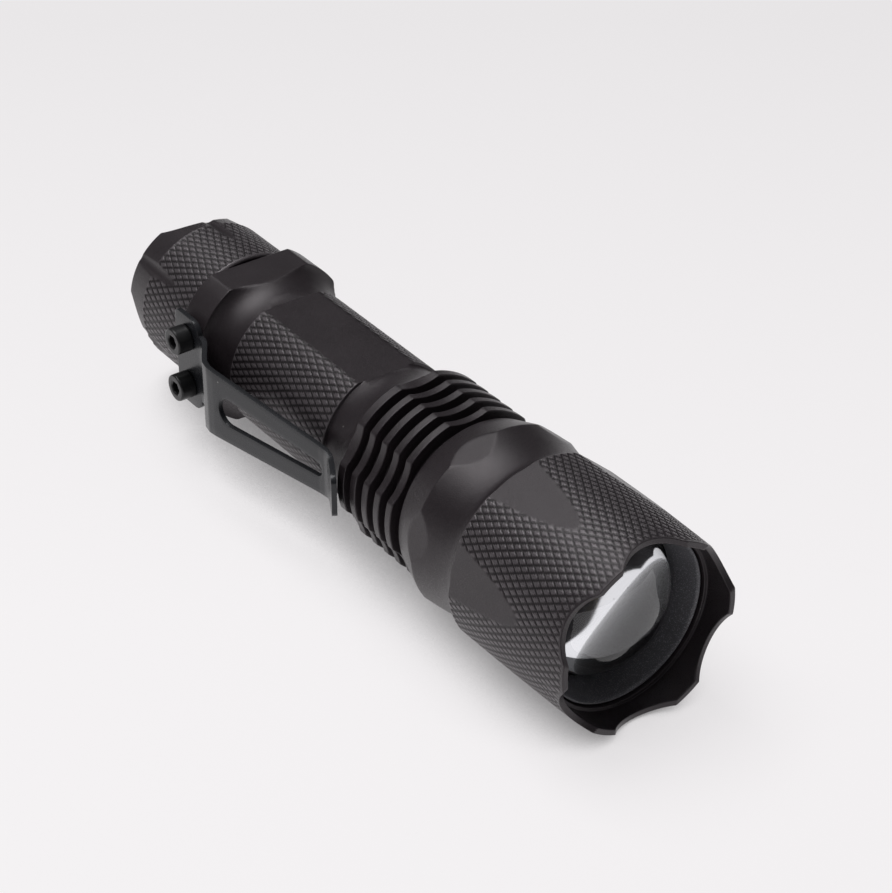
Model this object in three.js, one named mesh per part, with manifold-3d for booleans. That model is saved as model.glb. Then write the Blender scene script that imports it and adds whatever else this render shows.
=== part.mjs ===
// A pocket-size aluminium flashlight with a sliding zoom head, a cooling-fin body, a steel pocket
// clip and a push-button tail cap. It lies on its side with the beam along +X and +Z up.
// Lengths are millimetres. Every station is a distance along the beam axis from the tail's end face,
// and every radius is from that axis. Angles are degrees around the axis, from the top towards -Y,
// the side that carries the clip.

import * as THREE from 'three';
import { mergeVertices } from 'three/addons/utils/BufferGeometryUtils.js';
import Module from 'manifold-3d';

// ---------------------------------------------------------------- driving dimensions

const roundSteps = 36;        // sides of the large turned pieces
const smallSteps = 24;        // sides of the small turned pieces

const cell = {
  radius: 7.0, wrapRadius: 7.25, rear: 21.2, front: 70.4, crimp: 0.35,
  buttonRadius: 2.75, buttonFront: 71.8, buttonEdge: 0.3,
  wrapSkin: 0.12, wrapLip: 5.9, insulatorInner: 3.1, insulatorOuter: 5.7, insulatorThickness: 0.25,
};

const tube = {
  boreRadius: 7.45, rear: 10.5, spigotRadius: 9.0,
  sealGroove: [13.6, 15.2], sealGrooveRadius: 8.2,
  collar: [16.1, 21.2], collarRadius: 12.0, collarFlat: 10.3, collarFlatAngles: [0, 180, 270],
  clipFlat: 10.85, clipAngle: 90,
  rearCoveBottom: [25.5, 9.6],
  grip: [26.7, 48.8], gripRadius: 10.15, gripShoulderRadius: 9.75,
  labelFlat: 9.12, labelFlatRun: [25.9, 49.6],
  frontCoveBottom: [49.8, 9.7], frontCoveTop: 55.2,
};

const fins = {
  count: 5, firstFront: 56.5, pitch: 2.55, thickness: 1.15, radius: 12.0, rootRadius: 9.9,
  scallops: 6, scallopRadius: 8.0, scallopBottom: 11.15,
};

const barrel = {
  radius: 10.3, front: 85.5, pocketRadius: 8.6, pocketRear: 73.9,
  stopGroove: [79.2, 80.4], stopGrooveRadius: 9.65,
  stopRingInner: 9.75, stopRingOuter: 10.8, stopRingGap: 4.0, stopRingPlay: 0.1,
  sealGroove: [81.0, 82.6], sealGrooveRadius: 9.45,
};

const head = {
  rear: 68.0, rearRadius: 11.6, ridge: 72.85, ridgeRadius: 13.15,
  waist: [[75.2, 12.64], [77.4, 12.3], [79.2, 12.28], [80.2, 12.7]],
  shoulder: 80.7, shoulderRadius: 13.3, front: 102.2, frontRadius: 12.85,
  guideRadius: 10.42, guideFront: 71.0, boreRadius: 10.95, boreFront: 88.8,
  lipRadius: 9.8, lipFront: 90.1, seatRadius: 11.3, seatFront: 93.0,
  threadRadius: 11.6, threadFront: 98.1, crownBoreRadius: 12.05,
  facets: 6, facetAngle: 18, ridgeFacet: 12.64, leafRear: 12.75, leafTip: 93.4, leafTipHeight: 13.03,
  crownScallops: 6, crownScallopRadius: 6.6, crownScallopDepth: 1.9,
};

const optic = {
  rear: 91.0, flangeFront: 93.0, flangeRadius: 11.0, domeRadius: 9.6, apex: 97.5,
  gasketInner: 10.0, gasketOuter: 11.1,
};

const bezel = {
  rear: 93.1, front: 97.6, outerRadius: 11.45, throatRadius: 10.1, throatFront: 94.3,
  mouthRadius: 11.05, mouthRear: 97.3,
};

const seal = { headRadius: 10.2, headThickness: 1.24, tailRadius: 8.72, tailThickness: 0.88 };

const pill = {
  rear: 74.2, front: 84.4, radius: 8.45, wallRear: 82.2, cavityRadius: 7.2, wireHole: 0.9, wireReach: 5.6,
};

const led = {
  boardRadius: 8.3, board: [84.5, 86.0], chip: 3.5, chipHeight: 0.8, domeRadius: 1.45,
  spacerHeight: 0.6, spacerRadius: 4.4, spacerClearance: 0.25,
  wireRadius: 0.4, wireRise: 1.25, wireBend: 1.3,
};

const driver = {
  radius: 7.05, rear: 75.2, front: 76.6, springRadius: 2.5, springWire: 0.6, springTurns: 2.5,
  chip: { height: 1.3, width: 5.0, depth: 4.0, across: -1.0, up: -2.6 },
  inductor: { height: 2.55, radius: 1.9, across: 3.4, up: 1.6 },
};

const cap = {
  endRadius: 10.0, bandFront: 4.6, bandRadius: 10.6, gripRadius: 10.7, gripFront: 15.3, front: 15.7,
  mouthRadius: 10.4, sealBore: 9.35, sealBoreRear: 13.0, threadRadius: 9.2, threadRear: 8.85,
  chamberRadius: 8.4, wall: [3.2, 4.2], recessRadius: 8.3, buttonHole: 6.15,
  scallops: 3, scallopRadius: 6.3, scallopDepth: 3.0, scallopAngle: -6,
  leafGrooves: 6, leafAngle: -8, leafCutter: 1.6, leafFront: 10.2, leafDepth: 0.45,
};

const boot = {
  radius: 5.9, wall: 1.0, rear: 0.9, corner: 2.2, innerCorner: 1.2, front: 3.4,
  flange: [4.3, 5.0], flangeInner: 6.05, flangeOuter: 8.2,
};

const tailSwitch = {
  plungerRear: 2.0, plungerStep: 3.6, plungerFront: 6.2, plungerRadius: 2.6, stemRadius: 1.7,
  housing: [5.1, 7.9], housingRadius: 6.8, stemHole: 1.95, stemHoleFront: 7.65,
  board: [8.0, 8.8], boardRadius: 8.2,
  ring: [8.9, 10.2], ringInner: 6.4, ringOuter: 9.05, slotWidth: 1.6, slotDepth: 0.4,
  springRear: 8.85, springRadii: [4.8, 3.2], springWire: 0.8, springTurns: 6,
};

const clip = {
  thickness: 0.7, rear: 15.6, tabFront: 21.6, armRear: 21.9, tabHeight: 11.3, tabHalfWidth: 6.9,
  rearCorner: 0.8, frontCorner: 2.0, lipCorner: 1.0,
  neckHalfWidth: 5.15, crest: [28.6, 14.4], crestHalfWidth: 5.05, low: [51.9, 11.4], lowHalfWidth: 3.5,
  lip: [57.4, 13.9], lipHalfWidth: 3.05, slotWide: [33.0, 2.1], slotNarrow: [50.3, 1.1],
};

const screw = {
  station: 18.5, spread: 3.65, headRadius: 1.9, headHeight: 2.3, shankRadius: 0.9, shankLength: 2.9,
  socketRadius: 0.87, socketDepth: 1.0, headEdge: 0.15, clearanceRadius: 1.2, holeDepth: 2.3,
};

const fit = 0.05;             // air left under a piece that rests on its neighbour
const edgeChamfer = 0.3;      // chamfer on the tube's own end edges

// ---------------------------------------------------------------- shape helpers

const wasm = await Module();
wasm.setup();

const radians = THREE.MathUtils.degToRad;

// Signed area of a closed outline, positive when it runs counter-clockwise.
function signedArea(outline) {
  return outline.reduce((sum, [x, y], i) => {
    const [nextX, nextY] = outline[(i + 1) % outline.length];
    return sum + (x * nextY - nextX * y) / 2;
  }, 0);
}

// A ring or a solid of revolution about the beam axis, from [station, radius] points.
function turned(outline, steps = roundSteps) {
  const ordered = signedArea(outline) > 0 ? [...outline].reverse() : outline;
  const startsOnAxis = ordered.findIndex(([, radius]) => radius === 0);
  const endsOnAxis = ordered.findIndex(([, radius], i) => radius === 0
    && ordered[(i + 1) % ordered.length][1] !== 0);
  const first = startsOnAxis < 0 ? 0 : endsOnAxis;
  const loop = [...ordered.slice(first), ...ordered.slice(0, first)];
  if (startsOnAxis < 0) loop.push(loop[0]);
  const profile = loop.map(([station, radius]) => new THREE.Vector2(radius, station));
  return new THREE.LatheGeometry(profile, steps).rotateZ(-Math.PI / 2);
}

// Points on a quarter ellipse, from angle `from` to `to` in degrees around its centre.
function arc(centreX, centreY, halfX, halfY, from, to, steps) {
  return Array.from({ length: steps + 1 }, (_, i) => {
    const angle = radians(from + (to - from) * i / steps);
    return [centreX + halfX * Math.cos(angle), centreY + halfY * Math.sin(angle)];
  });
}

function toSolid(geometry) {
  const bare = geometry.clone();
  bare.deleteAttribute('normal');
  bare.deleteAttribute('uv');
  const merged = mergeVertices(bare, 1e-4);
  const corners = merged.index.array;
  const whole = [];
  for (let i = 0; i < corners.length; i += 3) {
    const [a, b, c] = [corners[i], corners[i + 1], corners[i + 2]];
    if (a !== b && b !== c && c !== a) whole.push(a, b, c);
  }
  const vertProperties = new Float32Array(merged.attributes.position.array);
  return new wasm.Manifold(new wasm.Mesh({ numProp: 3, vertProperties, triVerts: new Uint32Array(whole) }));
}

function toGeometry(solid) {
  const mesh = solid.getMesh();
  const geometry = new THREE.BufferGeometry();
  geometry.setAttribute('position', new THREE.BufferAttribute(mesh.vertProperties, 3));
  geometry.setIndex(new THREE.BufferAttribute(mesh.triVerts, 1));
  geometry.computeVertexNormals();
  return geometry;
}

function cut(geometry, cutters) {
  return toGeometry(cutters.reduce((solid, cutter) => solid.subtract(toSolid(cutter)), toSolid(geometry)));
}

function joined(geometries) {
  const [first, ...rest] = geometries.map(toSolid);
  return toGeometry(rest.reduce((solid, next) => solid.add(next), first));
}

// Copies of a cutter spread evenly around the beam axis.
function around(count, firstAngle, makeCutter) {
  return Array.from({ length: count }, (_, i) => makeCutter().rotateX(radians(firstAngle + 360 * i / count)));
}

// A block that leaves a flat at `height` above the axis, between two stations.
function flatCutter(rear, front, height, frontHeight = height) {
  const depth = 6;
  const width = 2.2 * head.shoulderRadius;
  const length = front - rear;
  const block = new THREE.BoxGeometry(length, width, depth).translate(length / 2, 0, depth / 2);
  return block.rotateY(-Math.atan2(frontHeight - height, length)).translate(rear, 0, height);
}

// A round bar across the wall that leaves a scallop in an end edge.
function edgeScallop(station, radius, inner, outer) {
  return new THREE.CylinderGeometry(radius, radius, outer - inner, 32)
    .rotateX(Math.PI / 2)
    .translate(station, 0, (inner + outer) / 2);
}

// A coil of round wire about the beam axis, its radius changing evenly from rear to front.
function coilSpring(rear, front, radii, wire, turns) {
  const stepsPerTurn = 12;
  const length = front - rear - wire;
  const points = Array.from({ length: turns * stepsPerTurn + 1 }, (_, i) => {
    const part = i / (turns * stepsPerTurn);
    const angle = 2 * Math.PI * turns * part;
    const radius = radii[0] + (radii[1] - radii[0]) * part;
    const station = rear + wire / 2 + length * part;
    return new THREE.Vector3(station, radius * Math.cos(angle), radius * Math.sin(angle));
  });
  return bar(points, wire / 2, turns * stepsPerTurn);
}

// A round bar of even thickness that follows a smooth line through the points.
function bar(points, radius, steps) {
  const section = new THREE.Shape(arc(0, 0, radius, radius, 0, 300, 5).map(([x, y]) => new THREE.Vector2(x, y)));
  const path = new THREE.CatmullRomCurve3(points);
  return new THREE.ExtrudeGeometry(section, { steps, bevelEnabled: false, extrudePath: path });
}

// A round rubber ring in the middle of its groove.
function rubberRing([rear, front], radius, thickness) {
  return turned(arc((rear + front) / 2, radius, thickness / 2, thickness / 2, 0, 315, 7));
}

const flashlight = new THREE.Group();

function place(name, geometry, color, roughness, metalness) {
  const mesh = new THREE.Mesh(geometry, new THREE.MeshStandardMaterial({ color, roughness, metalness }));
  mesh.name = name;
  flashlight.add(mesh);
}

// ---------------------------------------------------------------- body tube

function finOutline() {
  const outline = [];
  for (let i = 0; i < fins.count; i += 1) {
    const front = fins.firstFront + fins.pitch * i;
    const rear = front - fins.thickness;
    if (i > 0) outline.push([rear, fins.rootRadius], [rear, fins.radius]);
    outline.push([front, fins.radius], [front, i < fins.count - 1 ? fins.rootRadius : barrel.radius]);
  }
  return outline;
}

function grooveOutline([rear, front], floor, land) {
  return [[rear, land], [rear, floor], [front, floor], [front, land]];
}

function bodyOutline() {
  const chamfer = edgeChamfer;
  const [rearCove, rearCoveFloor] = tube.rearCoveBottom;
  const [frontCove, frontCoveFloor] = tube.frontCoveBottom;
  const rearCoveLine = arc(rearCove, tube.collarRadius, rearCove - tube.collar[1],
    tube.collarRadius - rearCoveFloor, 180, 270, 6);
  const frontCoveLine = arc(frontCove, fins.radius, tube.frontCoveTop - frontCove,
    fins.radius - frontCoveFloor, 270, 360, 6);
  return [
    [tube.rear, tube.boreRadius],
    [tube.rear, tube.spigotRadius - chamfer],
    [tube.rear + chamfer, tube.spigotRadius],
    ...grooveOutline(tube.sealGroove, tube.sealGrooveRadius, tube.spigotRadius),
    [tube.collar[0], tube.spigotRadius],
    [tube.collar[0], tube.collarRadius - chamfer],
    [tube.collar[0] + chamfer, tube.collarRadius],
    ...rearCoveLine,
    [tube.grip[0], tube.gripShoulderRadius],
    [tube.grip[0], tube.gripRadius],
    [tube.grip[1], tube.gripRadius],
    [tube.grip[1], tube.gripShoulderRadius],
    ...frontCoveLine,
    ...finOutline(),
    ...grooveOutline(barrel.stopGroove, barrel.stopGrooveRadius, barrel.radius),
    ...grooveOutline(barrel.sealGroove, barrel.sealGrooveRadius, barrel.radius),
    [barrel.front - chamfer, barrel.radius],
    [barrel.front, barrel.radius - chamfer],
    [barrel.front, barrel.pocketRadius],
    [barrel.pocketRear, barrel.pocketRadius],
    [barrel.pocketRear, tube.boreRadius],
  ];
}

function finScallop() {
  const rear = tube.frontCoveBottom[0];
  const front = fins.firstFront + fins.pitch * (fins.count - 1) + 1;
  return new THREE.CylinderGeometry(fins.scallopRadius, fins.scallopRadius, front - rear, 36)
    .rotateZ(Math.PI / 2)
    .translate((rear + front) / 2, 0, fins.scallopBottom + fins.scallopRadius);
}

function screwBore() {
  const bottom = tube.clipFlat - screw.holeDepth;
  return [-screw.spread, screw.spread].map(height => new THREE.CylinderGeometry(
    screw.clearanceRadius, screw.clearanceRadius, 6, smallSteps)
    .translate(screw.station, -bottom - 3, height));
}

function mainBody() {
  const collarFlat = height => flatCutter(tube.collar[0] - 1, tube.rearCoveBottom[0], height);
  return cut(turned(bodyOutline()), [
    ...tube.collarFlatAngles.map(angle => collarFlat(tube.collarFlat).rotateX(radians(angle))),
    collarFlat(tube.clipFlat).rotateX(radians(tube.clipAngle)),
    flatCutter(tube.labelFlatRun[0], tube.labelFlatRun[1], tube.labelFlat),
    ...around(fins.scallops, 0, finScallop),
    ...screwBore(),
  ]);
}

// ---------------------------------------------------------------- zoom head and optic

function headOutline() {
  return [
    [head.rear, head.guideRadius],
    [head.rear, head.rearRadius],
    [head.ridge, head.ridgeRadius],
    ...head.waist,
    [head.shoulder, head.shoulderRadius],
    [head.front, head.frontRadius],
    [head.front, head.crownBoreRadius],
    [head.threadFront, head.crownBoreRadius],
    [head.threadFront, head.threadRadius],
    [head.seatFront, head.threadRadius],
    [head.seatFront, head.seatRadius],
    [head.lipFront, head.seatRadius],
    [head.lipFront, head.lipRadius],
    [head.boreFront, head.lipRadius],
    [head.boreFront, head.boreRadius],
    [head.guideFront, head.boreRadius],
    [head.guideFront, head.guideRadius],
  ];
}

function zoomHead() {
  const slope = (head.leafTipHeight - head.leafRear) / (head.leafTip - head.shoulder);
  const leafFront = head.leafTip + 4;
  const leaf = () => flatCutter(head.shoulder - 1, leafFront, head.leafRear - slope,
    head.leafRear + slope * (leafFront - head.shoulder));
  const ridgeFacet = () => flatCutter(head.rear, head.waist[2][0] - 1, head.ridgeFacet);
  const crown = () => edgeScallop(head.front + head.crownScallopRadius - head.crownScallopDepth,
    head.crownScallopRadius, head.crownBoreRadius - 3, head.frontRadius + 3);
  return cut(turned(headOutline()), [
    ...around(head.facets, head.facetAngle, leaf),
    ...around(head.facets, head.facetAngle, ridgeFacet),
    ...around(head.crownScallops, 0, crown),
  ]);
}

function lensBody() {
  const dome = arc(optic.flangeFront, 0, optic.apex - optic.flangeFront, optic.domeRadius, 90, 0, 10);
  dome[dome.length - 1] = [optic.apex, 0];
  return turned([
    [optic.rear, 0],
    [optic.rear, optic.flangeRadius],
    [optic.flangeFront, optic.flangeRadius],
    ...dome,
  ]);
}

function lensGasket() {
  return turned([
    [head.lipFront + fit, optic.gasketInner],
    [head.lipFront + fit, optic.gasketOuter],
    [optic.rear - fit, optic.gasketOuter],
    [optic.rear - fit, optic.gasketInner],
  ]);
}

function lensRing() {
  return turned([
    [bezel.rear, bezel.throatRadius],
    [bezel.rear, bezel.outerRadius],
    [bezel.front, bezel.outerRadius],
    [bezel.front, bezel.outerRadius - 0.2],
    [bezel.mouthRear, bezel.mouthRadius],
    [bezel.throatFront, bezel.throatRadius],
  ]);
}

// An open spring ring in the barrel's groove that stops the head at full travel.
function stopRing() {
  const rear = barrel.stopGroove[0] + barrel.stopRingPlay;
  const front = barrel.stopGroove[1] - barrel.stopRingPlay;
  const ring = turned([[rear, barrel.stopRingInner], [rear, barrel.stopRingOuter],
    [front, barrel.stopRingOuter], [front, barrel.stopRingInner]]);
  const gap = new THREE.BoxGeometry(2 * (front - rear), barrel.stopRingGap, barrel.stopRingOuter);
  return cut(ring, [gap.translate((rear + front) / 2, 0, -barrel.stopRingOuter)]);
}

// ---------------------------------------------------------------- light engine

function ledPill() {
  const cup = turned([
    [pill.rear, pill.cavityRadius],
    [pill.rear, pill.radius],
    [pill.front, pill.radius],
    [pill.front, 0],
    [pill.wallRear, 0],
    [pill.wallRear, pill.cavityRadius],
  ], smallSteps);
  const wireHole = () => new THREE.CylinderGeometry(pill.wireHole, pill.wireHole, 6, 12)
    .rotateZ(Math.PI / 2)
    .translate(pill.front, 0, pill.wireReach);
  return cut(cup, around(2, 0, wireHole));
}

function ledBoard() {
  const disc = turned([[led.board[0], 0], [led.board[0], led.boardRadius],
    [led.board[1], led.boardRadius], [led.board[1], 0]], smallSteps);
  const wireHole = () => new THREE.CylinderGeometry(pill.wireHole, pill.wireHole, 4, 12)
    .rotateZ(Math.PI / 2)
    .translate(led.board[0], 0, pill.wireReach);
  return cut(disc, around(2, 0, wireHole));
}

function ledEmitter() {
  const rear = led.board[1] + fit;
  const base = new THREE.BoxGeometry(led.chipHeight, led.chip, led.chip).translate(rear + led.chipHeight / 2, 0, 0);
  const domeRear = rear + led.chipHeight - 0.1;
  const dome = turned([[domeRear, 0], ...arc(domeRear, 0, led.domeRadius, led.domeRadius, 90, 9, 6),
    [domeRear + led.domeRadius, 0]], smallSteps);
  return joined([base, dome]);
}

function ledSpacer() {
  const rear = led.board[1] + fit;
  const front = rear + led.spacerHeight;
  const disc = turned([[rear, 0], [rear, led.spacerRadius], [front, led.spacerRadius], [front, 0]], smallSteps);
  const window = led.chip + 2 * led.spacerClearance;
  return cut(disc, [new THREE.BoxGeometry(3, window, window).translate(rear, 0, 0)]);
}

function ledWire(side) {
  const outer = pill.wireReach * side;
  const [boardFront, rise, bend] = [led.board[1], led.wireRise, led.wireBend * side];
  return bar([
    new THREE.Vector3(driver.front + led.wireRadius, 0, outer),
    new THREE.Vector3(pill.wallRear - 2, 0, outer),
    new THREE.Vector3(pill.front - 2 * led.wireRadius, 0, outer),
    new THREE.Vector3(boardFront + rise / 2, 0, outer),
    new THREE.Vector3(boardFront + rise, 0, outer + bend * 0.4),
    new THREE.Vector3(boardFront + rise * 0.6, 0, outer + bend),
  ], led.wireRadius, 18);
}

function driverBoard() {
  return turned([[driver.rear, 0], [driver.rear, driver.radius], [driver.front, driver.radius],
    [driver.front, 0]], smallSteps);
}

function driverChip() {
  const { height, width, depth, across, up } = driver.chip;
  return new THREE.BoxGeometry(height, width, depth).translate(driver.front + fit + height / 2, across, up);
}

function driverInductor() {
  const { height, radius, across, up } = driver.inductor;
  const rear = driver.front + fit;
  return turned([[rear, 0], [rear, radius], [rear + height, radius], [rear + height, 0]], smallSteps)
    .translate(0, across, up);
}

// ---------------------------------------------------------------- battery

function batteryCell() {
  return turned([
    [cell.rear, 0],
    [cell.rear, cell.radius - cell.crimp],
    [cell.rear + cell.crimp, cell.radius],
    [cell.front - cell.crimp, cell.radius],
    [cell.front, cell.radius - cell.crimp],
    [cell.front, 0],
  ], smallSteps);
}

function batteryWrap() {
  const [lip, skin] = [cell.wrapLip, cell.wrapSkin];
  return turned([
    [cell.rear - 2 * skin, lip],
    [cell.rear - 2 * skin, cell.wrapRadius],
    [cell.front + 2 * skin, cell.wrapRadius],
    [cell.front + 2 * skin, lip],
    [cell.front + skin, lip],
    [cell.front + skin, cell.radius + fit],
    [cell.rear - skin, cell.radius + fit],
    [cell.rear - skin, lip],
  ], smallSteps);
}

function batteryInsulator() {
  const rear = cell.front + fit;
  const front = rear + cell.insulatorThickness;
  return turned([[rear, cell.insulatorInner], [rear, cell.insulatorOuter], [front, cell.insulatorOuter],
    [front, cell.insulatorInner]], smallSteps);
}

function batteryButton() {
  const rear = cell.front + fit;
  return turned([
    [rear, 0],
    [rear, cell.buttonRadius],
    [cell.buttonFront - cell.buttonEdge, cell.buttonRadius],
    [cell.buttonFront, cell.buttonRadius - cell.buttonEdge],
    [cell.buttonFront, 0],
  ], smallSteps);
}

// ---------------------------------------------------------------- tail cap and switch

function capOutline() {
  return [
    [0, cap.recessRadius],
    [0, cap.endRadius],
    [cap.bandFront, cap.bandRadius],
    [cap.bandFront, cap.gripRadius],
    [cap.gripFront, cap.gripRadius],
    [cap.front, cap.mouthRadius],
    [cap.front, cap.sealBore],
    [cap.sealBoreRear, cap.sealBore],
    [cap.sealBoreRear, cap.threadRadius],
    [cap.threadRear, cap.threadRadius],
    [cap.threadRear, cap.chamberRadius],
    [cap.wall[1], cap.chamberRadius],
    [cap.wall[1], cap.buttonHole],
    [cap.wall[0], cap.buttonHole],
    [cap.wall[0], cap.recessRadius],
  ];
}

function leafGroove() {
  const run = cap.leafFront + 2;
  const slope = cap.leafDepth / (cap.leafFront - cap.bandFront);
  const bottomAtFront = cap.gripRadius;
  return new THREE.CylinderGeometry(cap.leafCutter, cap.leafCutter, run, smallSteps)
    .rotateZ(Math.PI / 2)
    .translate(-run / 2, 0, cap.leafCutter)
    .rotateY(-Math.atan(slope))
    .translate(cap.leafFront, 0, bottomAtFront);
}

function tailCap() {
  const thumbScallop = () => edgeScallop(cap.scallopDepth - cap.scallopRadius, cap.scallopRadius,
    cap.recessRadius - 3, cap.endRadius + 3);
  return cut(turned(capOutline()), [
    ...around(cap.scallops, cap.scallopAngle, thumbScallop),
    ...around(cap.leafGrooves, cap.leafAngle, leafGroove),
  ]);
}

function bootDome() {
  const inner = boot.radius - boot.wall;
  const outerCorner = arc(boot.rear + boot.corner, boot.radius - boot.corner, boot.corner, boot.corner, 180, 90, 4);
  const innerCorner = arc(boot.rear + boot.wall + boot.innerCorner, inner - boot.innerCorner,
    boot.innerCorner, boot.innerCorner, 90, 180, 3);
  return turned([
    [boot.rear, 0],
    ...outerCorner,
    [boot.front, boot.radius],
    [boot.front, inner],
    ...innerCorner,
    [boot.rear + boot.wall, 0],
  ], smallSteps);
}

function bootFlange() {
  const [rear, front] = boot.flange;
  return turned([[rear, boot.flangeInner], [rear, boot.flangeOuter], [front, boot.flangeOuter],
    [front, boot.flangeInner]], smallSteps);
}

function switchPlunger() {
  return turned([
    [tailSwitch.plungerRear, 0],
    [tailSwitch.plungerRear, tailSwitch.plungerRadius],
    [tailSwitch.plungerStep, tailSwitch.plungerRadius],
    [tailSwitch.plungerStep, tailSwitch.stemRadius],
    [tailSwitch.plungerFront, tailSwitch.stemRadius],
    [tailSwitch.plungerFront, 0],
  ], smallSteps);
}

function switchHousing() {
  const [rear, front] = tailSwitch.housing;
  return turned([
    [rear, tailSwitch.stemHole],
    [rear, tailSwitch.housingRadius],
    [front, tailSwitch.housingRadius],
    [front, 0],
    [tailSwitch.stemHoleFront, 0],
    [tailSwitch.stemHoleFront, tailSwitch.stemHole],
  ], smallSteps);
}

function switchBoard() {
  const [rear, front] = tailSwitch.board;
  return turned([[rear, 0], [rear, tailSwitch.boardRadius], [front, tailSwitch.boardRadius], [front, 0]],
    smallSteps);
}

function switchRing() {
  const [rear, front] = tailSwitch.ring;
  const ring = turned([[rear, tailSwitch.ringInner], [rear, tailSwitch.ringOuter],
    [front, tailSwitch.ringOuter], [front, tailSwitch.ringInner]]);
  const slotCutter = new THREE.BoxGeometry(2 * tailSwitch.slotDepth, tailSwitch.slotWidth, 30)
    .translate(front, 0, 0);
  return cut(ring, [slotCutter]);
}

// ---------------------------------------------------------------- pocket clip

// The middle line of the pressed strip in side view, as [station, height] points: it leaves the tab
// with a small curve, rises to a rounded crest, comes down to the tube and turns up in a lip.
function clipLine() {
  const [crest, crestHeight] = clip.crest;
  const [low, lowHeight] = clip.low;
  return [
    [clip.armRear, clip.tabHeight],
    [clip.armRear + 0.7, clip.tabHeight + 0.1],
    [clip.armRear + 1.6, clip.tabHeight + 0.55],
    [crest - 2.6, crestHeight - 0.95],
    [crest - 1.4, crestHeight - 0.25],
    [crest, crestHeight],
    [crest + 1.3, crestHeight - 0.08],
    [low - 1.2, lowHeight + 0.07],
    [low, lowHeight],
    [low + 0.9, lowHeight + 0.1],
    [low + 1.7, lowHeight + 0.4],
    clip.lip,
  ];
}

// The closed outline of a strip that runs along a line, half its thickness to either side.
function stripOutline(line, thickness) {
  const sides = [[], []];
  line.forEach(([x, y], i) => {
    const [beforeX, beforeY] = line[Math.max(i - 1, 0)];
    const [afterX, afterY] = line[Math.min(i + 1, line.length - 1)];
    const length = Math.hypot(afterX - beforeX, afterY - beforeY);
    const [normalX, normalY] = [-(afterY - beforeY) / length, (afterX - beforeX) / length];
    sides[0].push([x + normalX * thickness / 2, y + normalY * thickness / 2]);
    sides[1].unshift([x - normalX * thickness / 2, y - normalY * thickness / 2]);
  });
  return [...sides[0], ...sides[1]];
}

function shapeOf(outline) {
  return new THREE.Shape(outline.map(([x, y]) => new THREE.Vector2(x, y)));
}

// A slab with a side view in stations and heights towards -Y, spread across the clip's width.
function clipSlab(outline) {
  const width = 4 * clip.tabHalfWidth;
  const towardsClip = outline.map(([station, height]) => [station, -height]);
  return new THREE.ExtrudeGeometry(shapeOf(towardsClip), { depth: width, bevelEnabled: false })
    .translate(0, 0, -width / 2);
}

// A block with a front view in stations and widths, deep enough to pass through the whole clip.
function clipBlank(outline) {
  const depth = 14;
  return new THREE.ExtrudeGeometry(shapeOf(outline), { depth, bevelEnabled: false })
    .rotateX(Math.PI / 2)
    .translate(0, depth / 2 - clip.tabHeight, 0);
}

function screwHoles(radius) {
  return [-screw.spread, screw.spread].map(height => new THREE.CylinderGeometry(radius, radius, 8, smallSteps)
    .translate(screw.station, -clip.tabHeight, height));
}

function clipBase() {
  const [rear, front, half] = [clip.rear, clip.tabFront, clip.tabHalfWidth];
  const { rearCorner, frontCorner } = clip;
  const outline = [
    ...arc(rear + rearCorner, rearCorner - half, rearCorner, rearCorner, 180, 270, 3),
    ...arc(front - frontCorner, frontCorner - half, frontCorner, frontCorner, 270, 360, 5),
    ...arc(front - frontCorner, half - frontCorner, frontCorner, frontCorner, 0, 90, 5),
    ...arc(rear + rearCorner, half - rearCorner, rearCorner, rearCorner, 90, 180, 3),
  ];
  const side = stripOutline([[rear - 1, clip.tabHeight], [front + 1, clip.tabHeight]], clip.thickness);
  const plate = toGeometry(toSolid(clipSlab(side)).intersect(toSolid(clipBlank(outline))));
  return cut(plate, screwHoles(screw.clearanceRadius));
}

function clipArm() {
  const { lipCorner } = clip;
  const lipEnd = clip.lip[0] + clip.thickness / 2;
  const oneSide = [
    [clip.armRear, clip.neckHalfWidth],
    [clip.crest[0], clip.crestHalfWidth],
    [clip.low[0], clip.lowHalfWidth],
    [clip.low[0] + 1.6, clip.lipHalfWidth + 0.1],
    ...arc(lipEnd - lipCorner, clip.lipHalfWidth - lipCorner, lipCorner, lipCorner, 90, 0, 4),
  ];
  const outline = [...oneSide.map(([x, half]) => [x, -half]), ...[...oneSide].reverse()];
  const [wideStation, wideRadius] = clip.slotWide;
  const [narrowStation, narrowRadius] = clip.slotNarrow;
  const slot = [
    ...arc(wideStation, 0, wideRadius, wideRadius, 90, 270, 10),
    ...arc(narrowStation, 0, narrowRadius, narrowRadius, -90, 90, 8),
  ];
  const strip = toSolid(clipSlab(stripOutline(clipLine(), clip.thickness)));
  const plate = strip.intersect(toSolid(clipBlank(outline)));
  return toGeometry(plate.subtract(toSolid(clipBlank(slot))));
}

function clipScrew(height) {
  const seat = clip.tabHeight + clip.thickness / 2 + fit;
  const bolt = turned([
    [seat - screw.shankLength, 0],
    [seat - screw.shankLength, screw.shankRadius],
    [seat, screw.shankRadius],
    [seat, screw.headRadius],
    [seat + screw.headHeight - screw.headEdge, screw.headRadius],
    [seat + screw.headHeight, screw.headRadius - screw.headEdge],
    [seat + screw.headHeight, 0],
  ], smallSteps);
  const socket = new THREE.CylinderGeometry(screw.socketRadius, screw.socketRadius, screw.socketDepth * 2, 6)
    .rotateZ(Math.PI / 2)
    .translate(seat + screw.headHeight, 0, 0);
  return cut(bolt, [socket]).rotateZ(-Math.PI / 2).translate(screw.station, 0, height);
}

// ---------------------------------------------------------------- assembly

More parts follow.
